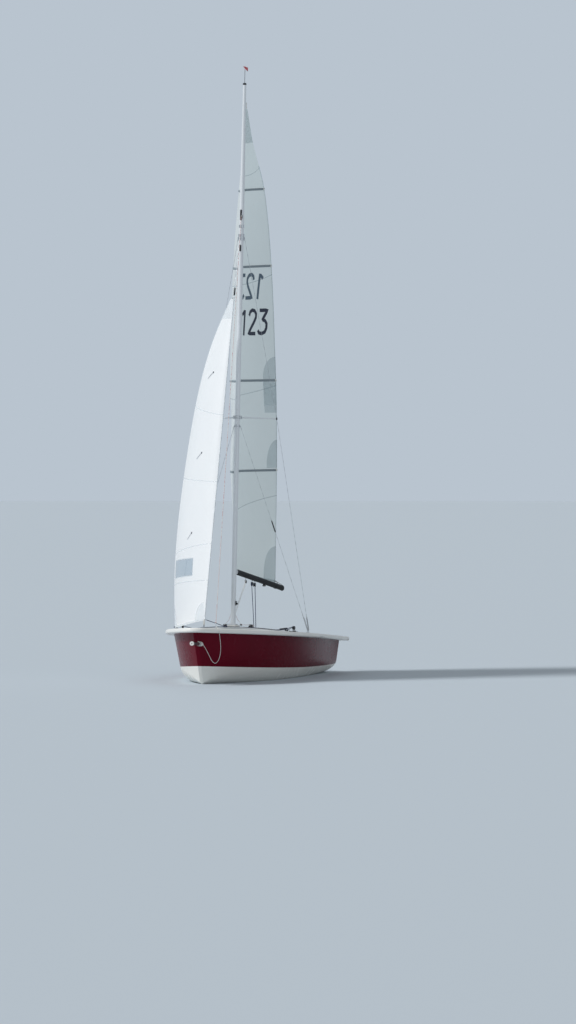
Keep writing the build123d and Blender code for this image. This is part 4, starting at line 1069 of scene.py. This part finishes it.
for name in ("cap_shroud_port", "cap_shroud_starboard", "lower_shroud_port", "lower_shroud_starboard"):
    foot, top = wire_ends(name)
    side = 1 if foot.y > 0 else -1
    bend = top
    if name.startswith("cap"):
        # The wire turns over the spreader's tip, its outermost point near that height
        tip_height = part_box("spreader_port")[1][2]
        near = [vertex.co for vertex in nodes[name].data.vertices if abs(vertex.co.z - tip_height) < 0.05]
        bend = sum(near, Vector()) / len(near)
    along = (bend - foot).normalized()
    rig_metal.seat = seat(foot, along, X)
    rig_metal.turned([(0.0030, 0.150), (0.0045, 0.152), (0.0045, 0.205), (0.0030, 0.225)], 12)
    adjuster_plates(foot + along * 0.075, X, along, 0.185)
    for step in (-0.012, 0.020, 0.052, 0.084, 0.116, 0.150):
        rig_metal.seat = seat(foot + along * step - X * 0.008, X, along)
        rig_metal.turned([(0.0022, 0.0), (0.0030, 0.0008), (0.0030, 0.0152), (0.0022, 0.016)], 10)
    away = (top - bend).normalized() if bend is not top else along
    rig_metal.seat = seat(top, -away, X)
    rig_metal.turned([(0.0060, 0.0), (0.0060, 0.012), (0.0042, 0.020), (0.0042, 0.055), (0.0026, 0.065)], 12)
    if name.startswith("lower"):
        # Heat-shrunk sleeve where the shroud is chafed
        middle = foot + along * ((2.10 - foot.z) / along.z)
        rig_dark.seat = seat(middle, along, X)
        rig_dark.turned([(0.0030, -0.085), (0.0075, -0.078), (0.0085, 0.0), (0.0075, 0.078),
                         (0.0030, 0.085)], 14)
    else:
        rig_dark.seat = seat(bend, Vector((0, side, 0)), away)
        rig_dark.slab(rounded(0.036, 0.022, 0.009), 0.016, 0.004, low=-0.010)
rig_metal.seat = seat(stay_foot, stay_along, Y)
rig_metal.turned([(0.0030, 0.075), (0.0048, 0.077), (0.0048, 0.098), (0.0030, 0.104)], 12)
adjuster_plates(stay_foot + stay_along * 0.035, Y, stay_along, 0.095)
rig_dark.seat = seat(stay_foot + stay_along * 4.72, stay_along, Y)
rig_dark.turned([(0.0030, 0.0), (0.0110, 0.010), (0.0110, 0.100), (0.0030, 0.120)], 14)
rig_metal.make("shroud_adjusters_and_terminals", "pressed_stainless_steel", "root")
rig_dark.make("shroud_sleeves_and_tip_covers", "black_moulded_nylon", "root")

# Fittings on the mast: halyard exit block and its eye strap, tang boxes, cleat and the lips of the luff
# groove
mast_dark, mast_metal = Shape(), Shape()
exit_up = 4.90
pulley(mast_dark, mast_metal, on_mast(exit_up, 0.068, 0.016), Y, mast_up, 0.019)
eye_strap(mast_metal, on_mast(exit_up + 0.045, mast_half_depth(exit_up) + 0.001, 0.012),
          mast_forward, mast_up, 0.008)
for up, length in ((4.93, 0.150), (4.47, 0.090)):
    mast_dark.seat = seat(on_mast(up, mast_half_depth(up) - 0.001), mast_forward, mast_up)
    mast_dark.slab(rounded(length, 0.026, 0.010), 0.012, 0.004)
    for step in (-0.4, 0.4):
        screw(mast_metal, on_mast(up + step * length, mast_half_depth(up) + 0.010), mast_forward, 0.003)
cam_cleat(mast_dark, mast_metal, on_mast(-0.44, 0.002, 0.0345), Y, mast_up)
mast_dark.make("mast_fittings", "black_moulded_nylon", "root")

groove = Shape()
groove_heights = spread(0.16, mast_top - 0.01, 60)
for side in (-1, 1):
    rows = []
    for up in groove_heights:
        back = -mast_half_depth(up)
        rows.append([on_mast(up, back + dx, side * dy) for dx, dy in ((0.006, 0.0120), (-0.0025, 0.0085),
                                                                     (-0.0055, 0.0045), (0.004, 0.0035))])
    groove.grid(rows, [[(k * 0.01, up) for k in range(5)] for up in groove_heights], wrap=True, caps=True)
groove.make("mast_luff_groove", "clear_anodised_aluminium", "root")

# Gooseneck and step rivets
step_up, mast_back = -0.640, -mast_half_depth(0)
for up in (-0.036, -0.012, 0.012, 0.036):
    for side in (-0.015, 0.015):
        screw(mast_metal, on_mast(up, mast_back - 0.0048, side), -mast_forward, 0.0028)
mast_metal.seat = seat(on_mast(step_up, mast_back - 0.001), -mast_forward, mast_up)
mast_metal.slab(rounded(0.070, 0.036, 0.006), 0.003, 0.001)
for side in (-1, 1):
    mast_metal.seat = seat(on_mast(step_up, mast_back - 0.012, side * 0.009), side * Y, mast_up)
    mast_metal.slab(rounded(0.034, 0.026, 0.008), 0.0025, 0.0006)
mast_metal.make("mast_straps_and_rivets", "pressed_stainless_steel", "root")

# Radii of the thin lines, the jib's sheets and the mainsheet
line_radius, jib_sheet_radius, mainsheet_radius = 0.0028, 0.0042, 0.0045

# Gennaker halyard, made fast at the pad eye by its snap shackle
eye_top = Vector((pad_eye.x, pad_eye.y - 0.004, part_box("deck_eye")[1][2] + 0.001))
halyard = Shape()
halyard_top = on_mast(exit_up - 0.004, 0.088, 0.016)
halyard_end = eye_top + (halyard_top - eye_top).normalized() * 0.075
halyard.tube([on_mast(exit_up + 0.018, 0.070, 0.016), on_mast(exit_up + 0.010, 0.084, 0.016)]
             + line(halyard_top, halyard_end, 24), 0.0035)
stopper_knot(halyard, halyard_end, halyard_top - halyard_end, 0.0035)
halyard.make("gennaker_halyard", "red_fleck_halyard", "root", slot="rope")
snap = Shape()
snap_along = (halyard_top - eye_top).normalized()
snap.seat = seat(eye_top, snap_along, Y)
snap.tube([(0.007 * cos(t), 0, 0.030 + 0.030 * sin(t) * 0.9) for t in spread(0, tau, 20)], 0.0022, 8)
snap.turned([(0.003, 0.055), (0.006, 0.058), (0.006, 0.066), (0.003, 0.069)], 12)
snap.make("gennaker_snap_shackle", "pressed_stainless_steel", "root")

# Ropes at the sails' corners
white_lines = Shape()
jib_tack = jib_cloth(0.01, jib_foot + 0.02)
jib_metal = Shape()
ring(jib_metal, jib_tack - X * 0.022, Y, 0.011, 0.003)
for side in (-0.006, 0.0, 0.006):
    white_lines.tube([jib_tack - X * 0.020 + Y * side, stay_foot + Vector((0.0, side, 0.055)),
                      stay_foot + Vector((0.012, side * 1.6, -0.012))], line_radius)
jib_clew = jib_cloth(1.0, jib_foot + 0.01)
clew_out = (jib_clew - jib_cloth(0.9, jib_foot + 0.01)).normalized()
ring(jib_metal, jib_clew - clew_out * 0.004, cloth_normal(jib_cloth, 0.97, jib_foot + 0.02), 0.013, 0.003)
jib_head_point = jib_cloth(0.3, jib_head)
ring(jib_metal, jib_head_point + stay_along * 0.008, Y, 0.010, 0.003)
jib_metal.seat = Matrix()
jib_metal.tube([jib_head_point + stay_along * 0.018, on_mast(4.735, mast_half_depth(4.7) + 0.006)], 0.0020)
jib_metal.make("jib_rings_and_halyard_wire", "pressed_stainless_steel", "root")

# Main halyard from the headboard to the masthead sheave, on the line that the sail turns about
white_lines.tube([on_mast(6.505, -neck_back + 0.002), on_mast(6.62, -neck_back + 0.008),
                  on_mast(6.725, -0.030), on_mast(6.745, -0.018)], line_radius)
stopper_knot(white_lines, Vector((pad_eye.x - 0.002, pad_eye.y + 0.006, eye_top.z + 0.004)), Y, 0.003)
white_lines.make("jib_tack_lashing_and_main_halyard", "white_braid", "root", slot="rope")

# Clew strap, outhaul and tack of the mainsail
boom_metal, boom_dark, boom_lines = Shape(), Shape(), Shape()
main_clew, main_tack = main_cloth(0.994, 0.060), main_cloth(0.012, 0.070)
ring(boom_metal, main_clew, boom_side, 0.013, 0.003)
ring(boom_metal, main_tack, boom_side, 0.010, 0.003)
clew_along = (main_clew - neck).dot(boom_along)
loop = [on_boom(clew_along, 0.012 + 0.056 * cos(t), 0.034 * sin(t)) for t in spread(0, tau, 32)]
clew_loop = Shape()
strap(clew_loop, loop, 0.026, 0.003, lambda i: (loop[i] - on_boom(clew_along, 0.012)).normalized())
clew_loop.make("mainsail_clew_strap", "woven_webbing", "boom")
boom_tip = 2.765
for side in (-0.006, 0.006):
    boom_lines.tube([main_clew + boom_side * side + boom_along * 0.012, on_boom(boom_tip - 0.02, 0.047, side),
                     on_boom(boom_tip + 0.010, 0.036, side)], 0.0025)
boom_lines.tube([main_tack, on_boom(0.030, 0.030, 0.0), on_boom(0.052, 0.034, 0.0)], line_radius)

# Vang between the boom and a bracket where the boom's axis meets the mast's foot
vang_low = on_mast(-0.610, -neck_back)
vang_along = 0.62
vang_high = on_boom(vang_along, boom_under - 0.050)
pull = (vang_high - vang_low).normalized()
pulley(boom_dark, boom_metal, vang_low + pull * 0.012, boom_side, -pull, 0.017)
pulley(boom_dark, boom_metal, vang_high, boom_side, boom_up, 0.019)
spare = pull.cross(boom_side)
for low, high in ((0.014, 0.017), (-0.014, -0.017)):
    boom_lines.tube([vang_low + pull * 0.015 + spare * low, vang_high + spare * high], line_radius)
boom_lines.tube([vang_low + pull * 0.03 + boom_side * 0.006, vang_high - pull * 0.02 + boom_side * 0.006],
                line_radius)
eye_strap(boom_metal, on_boom(vang_along, boom_under - 0.0005), -boom_up, boom_along, 0.016)

# Mainsheet: two blocks under the boom, and its parts down to the block on the case
sheet_blocks, sheave, block_low = (0.985, 1.135), 0.022, boom_under - 0.052
for along in sheet_blocks:
    pulley(boom_dark, boom_metal, on_boom(along, block_low), boom_side, boom_up, 0.024)
    eye_strap(boom_metal, on_boom(along, boom_under - 0.0005), -boom_up, boom_along, 0.016)
cam_cleat(boom_dark, boom_metal, on_boom(1.70, boom_under + 0.001), -boom_up, boom_along)
boom_dark.make("boom_blocks", "black_moulded_nylon", "boom")
boom_metal.make("boom_straps_and_rings", "pressed_stainless_steel", "boom")
boom_lines.make("outhaul_and_vang_lines", "white_braid", "boom", slot="rope")

drum = Vector((-0.690, 0.0, 0.318))
over_sheaves = [[on_boom(along - sheave * cos(t), block_low + sheave * sin(t))
                 for t in spread(0, tau / 2, 8)] for along in sheet_blocks]
sheet_route = [drum + Vector((0.024, 0, 0.012))]
sheet_route += line(drum + Vector((0.031, 0, 0.05)), on_boom(0.963, -0.092), 24) + over_sheaves[0]
sheet_route += [on_boom(along, boom_under - 0.048) for along in (1.03, 1.09)] + over_sheaves[1]
sheet_route += line(on_boom(1.157, -0.094), drum + Vector((-0.031, 0, 0.05)), 24)
sheet_route.append(drum + Vector((-0.024, 0, 0.012)))
mainsheet = Shape()
mainsheet.tube(sheet_route, mainsheet_radius, sides=10)
mainsheet = mainsheet.make("mainsheet", "dark_blue_sheet", None, slot="rope")
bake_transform(mainsheet)

# Jib sheets to their cars and cleats; the lazy one goes round the front of the mast
deck_dark, deck_metal, sheets = Shape(), Shape(), Shape()


def deck_cleat(x, y, leader, wedge):
    """Cam cleat on a wedge that faces its rope's last block; returns its grip and that direction."""
    place, up = on_deck(x, y)
    load = (leader - place).normalized()
    deck_dark.seat = seat(place, up, load)
    deck_dark.slab(rounded(0.075, 0.045, 0.010), wedge, 0.003)
    cam_cleat(deck_dark, deck_metal, place + up * (wedge - 0.001), up, load)
    return place + up * (wedge + 0.016), load


# The slack sheet lies on the foredeck on its way round the mast
slack_route = ((0.56, -0.70), (0.60, -0.50), (0.66, -0.28), (0.70, -0.05), (0.69, 0.12), (0.62, 0.32),
               (0.50, 0.52), (0.38, 0.66))
tracks = Shape()
for side in (1, -1):
    middle, normal = on_deck(0.26, side * 0.80)
    tracks.seat = seat(middle, normal)
    tracks.slab(rounded(0.44, 0.026, 0.006), 0.004, 0.001)
    tracks.slab(rounded(0.42, 0.016, 0.004), 0.008, 0.001, low=0.004)
    for step in spread(-0.20, 0.20, 8):
        screw(deck_metal, seat(middle, normal) @ Vector((step, 0, 0.0125)), normal, 0.0030)
    at = seat(middle, normal) @ Vector((-0.04, 0, 0.012))
    deck_dark.seat = seat(at, normal)
    deck_dark.slab(rounded(0.070, 0.036, 0.010), 0.012, 0.003)
    block_at = at + normal * 0.046 + Vector((0.006, -side * 0.004, 0))
    pulley(deck_dark, deck_metal, block_at, Vector((0.35, side, 0.0)), -normal, 0.022)
    grip, load = deck_cleat(0.03, side * 0.640, block_at, 0.014)
    tail = grip - load * 0.055 - Z * 0.006
    if side < 0:
        lead = line(jib_clew + clew_out * 0.006, block_at + Z * 0.022, 6)
    else:
        lead = nurbs_points([jib_clew + clew_out * 0.006] + [on_deck(x, y)[0] for x, y in slack_route]
                            + [block_at + Z * 0.022])
        for point in lead:
            point.z = max(point.z, on_deck(point.x, point.y)[0].z + 0.0046)
    off_sheave = block_at + Vector((-0.016, -side * 0.008, 0.012))
    sheets.tube(lead + [off_sheave, grip + load * 0.02, grip, tail], jib_sheet_radius)
    stopper_knot(sheets, tail, load, jib_sheet_radius)
tracks.make("jib_tracks", "black_anodised_aluminium", "root")
stopper_knot(sheets, jib_clew + clew_out * 0.016, clew_out, 0.0045)

# Line that holds the jib's tack down, led aft to an eye on the foredeck
tack_eye, tack_eye_up = on_deck(0.93, 0.020)
eye_strap(deck_metal, tack_eye, tack_eye_up, Y, 0.012)
tack_end = tack_eye + tack_eye_up * 0.006 - X * 0.030
sheets.tube([jib_tack - X * 0.022, tack_eye + tack_eye_up * 0.008, tack_end], 0.0045)
stopper_knot(sheets, tack_end + tack_eye_up * 0.003, X, 0.0045)
sheets.make("jib_sheets", "dark_blue_sheet", "root", slot="rope")

# Control lines from the mast's foot to cleats on the deck behind it
controls = Shape()
for side in (1, -1):
    start = on_mast(-0.665, -0.010, side * 0.060)
    turn_at, turn_up = on_deck(0.455, side * 0.105)
    block_at = turn_at + turn_up * 0.030
    pulley(deck_dark, deck_metal, block_at, turn_up, Vector((1.0, -side * 0.2, 0)), 0.017)
    grip, load = deck_cleat(0.235, side * 0.185, block_at, 0.012)
    tail = grip - load * 0.060
    controls.tube([on_mast(-0.60, 0.0, side * 0.034), on_mast(-0.640, -0.004, side * 0.052), start,
                   block_at + Vector((0.010, side * 0.014, 0)), grip + load * 0.02, grip, tail], line_radius)
    stopper_knot(controls, tail, load, line_radius)
controls.make("control_lines", "red_fleck_halyard", "root", slot="rope")

# Screws of the chainplates, stem fitting, pad eye and gudgeons
for side in (1, -1):
    for x in (-0.022, 0.022, 0.038, 0.082):
        screw(deck_metal, on_sheer(x, side * 0.945, 0.0045), sheer_up, 0.0045)
for x in (1.900, 1.945, 1.99, 2.030):
    for side in (-0.014, 0.014):
        screw(deck_metal, on_sheer(x, side, 0.0055), sheer_up, 0.0040)
for side in (-0.018, 0.018):
    screw(deck_metal, on_sheer(pad_eye.x, pad_eye.y, 0.0035) + X * side, sheer_up, 0.0030)
gudgeon_face = -2.3845
for name in ("gudgeon_lower", "gudgeon_upper"):
    low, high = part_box(name)
    for side in (-0.030, 0.030):
        for z in (-0.009, 0.009):
            screw(deck_metal, Vector((gudgeon_face, side, (low[2] + high[2]) / 2 + z)), -X, 0.0032)
deck_dark.make("deck_blocks_and_cleats", "black_moulded_nylon", "root")
deck_metal.make("deck_screws_and_pins", "pressed_stainless_steel", "root")

# Inspection hatches in the cockpit's front bulkhead and drain bungs in the transom
hatches, finger_bar = Shape(), rounded(0.026, 0.006, 0.002)
for side in (1, -1):
    lid = seat(deck_tree.ray_cast(Vector((-0.30, side * 0.30, 0.50)), X)[0] - X * 0.0005, -X, Z)
    hatches.seat = lid
    hatches.turned([(0.078, 0.0), (0.078, 0.004), (0.070, 0.007), (0.064, 0.007), (0.062, 0.004),
                    (0.058, 0.004), (0.056, 0.008), (0.020, 0.009), (0.018, 0.006), (0.004, 0.006)], 48)
    for k in range(8):
        hatches.seat = shifted(lid @ Matrix.Rotation(tau * k / 8, 4, "Z"), 0.038, 0, 0.008)
        hatches.slab(finger_bar, 0.003, 0.001)
    hatches.seat = seat(hull_tree.ray_cast(Vector((-2.80, side * 0.62, 0.135)), X)[0] + X * 0.0005, -X, Z)
    hatches.turned([(0.034, 0.0), (0.034, 0.003), (0.030, 0.005), (0.018, 0.006), (0.017, 0.012),
                    (0.012, 0.013)], 32)
    hatches.slab(finger_bar, 0.006, 0.001, low=0.012)
hatches.make("inspection_hatches_and_bungs", "white_acetal", "root")


def grip_pad(shape, side, ends, inner, outer, columns, across, corner):
    """Pad laid on the moulding on one side, between two edges given as functions of the distance forward."""
    low, high = ends
    rounding = [corner * (1 - cos(t)) for t in spread(0.0, tau / 4, 6)]
    rows, places = [], []
    for x in ([low + end for end in rounding] + spread(low + corner, high - corner, columns)[1:-1]
              + [high - end for end in reversed(rounding)]):
        depth = max(0.0, min(x - low, high - x))
        inset = corner - (corner ** 2 - (corner - depth) ** 2) ** 0.5 if depth < corner else 0.0
        near, far = inner(x) + inset, outer(x) - inset
        breadths = [side * (near + (far - near) * t) for t in spread(0.0, 1.0, across)]
        rows.append([on_deck(x, y, 1.2)[0] + Z * 0.0012 for y in breadths])
        places.append([(x, y) for y in breadths])
    shape.grid(rows, places)


deck_half_beam, widest_at, bow_arc, stern_arc = 1.0, -0.4, 5.2996, 21.47
well_half_aft, well_drawn_in, well_taper_from, well_taper_length = 0.640, 0.100, -0.9, 1.02


def deck_half(x):
    """Half-breadth of the deck along its side arcs, which meet where it is widest."""
    radius = bow_arc if x > widest_at else stern_arc
    return deck_half_beam - radius + (radius * radius - (x - widest_at) ** 2) ** 0.5


def well_half(x):
    """Half-width of the upper cockpit well, which narrows forward."""
    return well_half_aft - well_drawn_in * max(0.0, x - well_taper_from) / well_taper_length


# Non-slip pads moulded into the decks, benches and floor. Columns: ends, inner and outer edge, cells along
# and across, radius of the corners
pad_plans = (
    ((-2.30, -0.12), lambda x: well_half(x) + 0.030, lambda x: deck_half(x) - 0.075, 60, 8, 0.05),
    ((-2.20, -0.05), lambda x: 0.425, lambda x: well_half(x) - 0.030, 40, 4, 0.03),
    ((-2.20, -0.82), lambda x: 0.030, lambda x: 0.370, 20, 6, 0.03),
    ((-0.70, -0.02), lambda x: 0.060, lambda x: 0.370, 14, 6, 0.03),
    ((0.66, 1.50), lambda x: 0.110, lambda x: 0.46 - 0.22 * (x - 0.66), 30, 10, 0.05),
)
pads = Shape()
for side in (1, -1):
    for plan in pad_plans:
        grip_pad(pads, side, *plan)
pads.make("non_slip_pads", "moulded_non_slip_gelcoat", "root", closed=False)

# Top of the footwell's wall, where it turns out under the benches: columns x and y of its inner face
wall_half, wall_front, wall_corner, wall_skin = 0.400, 0.060, 0.090, 0.005
wall_low, bench_drop, bench_skin = 0.340, 0.260, 0.004
quarter = spread(tau / 4, 0.0, 8)
wall_line = [(-0.52, wall_half)] + [(wall_front - wall_corner + wall_corner * cos(t), wall_half - wall_corner
                                     + wall_corner * sin(t)) for t in quarter]
wall_line += [(x, -y) for x, y in reversed(wall_line)]
wall = Shape()
rows = []
for i, (x, y) in enumerate(wall_line):
    before, after = wall_line[max(i - 1, 0)], wall_line[min(i + 1, len(wall_line) - 1)]
    along = Vector((after[0] - before[0], after[1] - before[1], 0)).normalized()
    outward = Z.cross(along)
    under = sheer_middle + sheer_slope * x - bench_drop - bench_skin
    inner, outer = Vector((x, y, 0)) - outward * 0.0003, Vector((x, y, 0)) + outward * wall_skin
    rows.append([inner + Z * wall_low, outer + Z * wall_low, outer + Z * under, inner + Z * under])
wall.grid(rows, [[(i * 0.05, k * 0.02) for k in range(5)] for i in range(len(rows))], wrap=True, caps=True)
wall.make("footwell_wall_top", "moulded_white_gelcoat", "root")

# Toe straps from the case to the rudder post
straps = Shape()
strap_route = ((-0.772, 0.020, 0.215), (-0.86, 0.050, 0.262), (-1.15, 0.130, 0.288), (-1.55, 0.160, 0.292),
               (-1.95, 0.120, 0.300), (-2.20, 0.060, 0.330), (-2.296, 0.040, 0.352))
for side in (1, -1):
    strap(straps, nurbs_points([(x, side * y, z) for x, y, z in strap_route]), 0.050, 0.003, Z)
straps.make("toe_straps", "woven_webbing", "root")

# Tiller extension's joint and grip, and the rudder's hold-down line
extension_low, extension_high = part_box("tiller_extension")
extension_z = (extension_low[2] + extension_high[2]) / 2
grip_shape, rudder_metal, rudder_line = Shape(), Shape(), Shape()
grip_shape.seat = seat(Vector((extension_low[0] - 0.002, 0, extension_z)), X, Z)
grip_shape.turned([(0.010, 0.0), (0.0135, 0.004), (0.0145, 0.020)]
                  + [(0.0145 - 0.0012 * (k % 2), 0.030 + 0.012 * k) for k in range(30)]
                  + [(0.0135, 0.395), (0.0095, 0.400)], 20)
grip_shape.seat = seat(Vector((extension_high[0] - 0.070, 0, extension_z)), X, Z)
grip_shape.turned([(0.0095, 0.0), (0.0125, 0.004), (0.0125, 0.034), (0.0085, 0.042), (0.0110, 0.052),
                   (0.0085, 0.062), (0.0120, 0.070), (0.0120, 0.084), (0.0095, 0.088)], 20)
grip_shape.make("tiller_grip_and_joint", "closed_cell_foam_grip", "rudder")
tiller_low, tiller_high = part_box("tiller")
stock_low, stock_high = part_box("rudder_stock")
bolts = [(tiller_low[0] + ahead, 0.0170, 0.475) for ahead in (0.03, 0.10)]
bolts += [(stock_low[0] + 0.075, stock_high[1], z) for z in (0.215, 0.300, 0.395)]
for x, y, z in bolts:
    for side in (-1, 1):
        screw(rudder_metal, Vector((x, side * y, z)), Y * side, 0.0050)
rudder_metal.make("rudder_bolts", "pressed_stainless_steel", "rudder")
rudder_line.tube([(tiller_high[0] - 0.30, 0.0190, 0.585), (-2.40, 0.0200, 0.560), (-2.470, 0.0210, 0.430),
                  (-2.475, 0.0200, 0.120)], 0.0025)
stopper_knot(rudder_line, Vector((tiller_high[0] - 0.29, 0.0195, 0.585)), X, 0.0025)
rudder_line.make("rudder_hold_down_line", "black_braid", "rudder", slot="rope")

# Hitch of the tack line round the bowsprit
hitch = Shape()
hitch_on(hitch, hitch_place, sprit_along, 0.028, tack_radius)
hitch.make("bowsprit_hitch", "white_braid", "bowsprit", slot="rope")

# Finishes of the solids
finished_in = {
    "polished_two_tone_gelcoat": ["hull_moulding"],
    "moulded_white_gelcoat": ["deck_moulding", "centreboard_case", "centreboard", "rudder_blade"],
    "black_anodised_aluminium": ["boom"],
    "clear_anodised_aluminium": ["mast", "mast_step", "boom_toggle", "spreader_port", "spreader_starboard",
                                 "rudder_stock", "tiller"],
    "black_moulded_nylon": ["boom_end", "mainsheet_block"],
    "black_cap_and_red_vane": ["masthead_cap"],
    "white_acetal": ["headboard", "bowsprit_ring", "bowsprit_bush"],
    "clear_coated_carbon": ["bowsprit", "tiller_extension"],
    "laid_stainless_wire": ["forestay", "cap_shroud_port", "cap_shroud_starboard", "lower_shroud_port",
                            "lower_shroud_starboard"],
}
finishes = {name: finish for finish, names in finished_in.items() for name in names}
for name, node in nodes.items():
    node.data.materials.clear()
    node.data.materials.append(materials[finishes.get(name, "pressed_stainless_steel")])
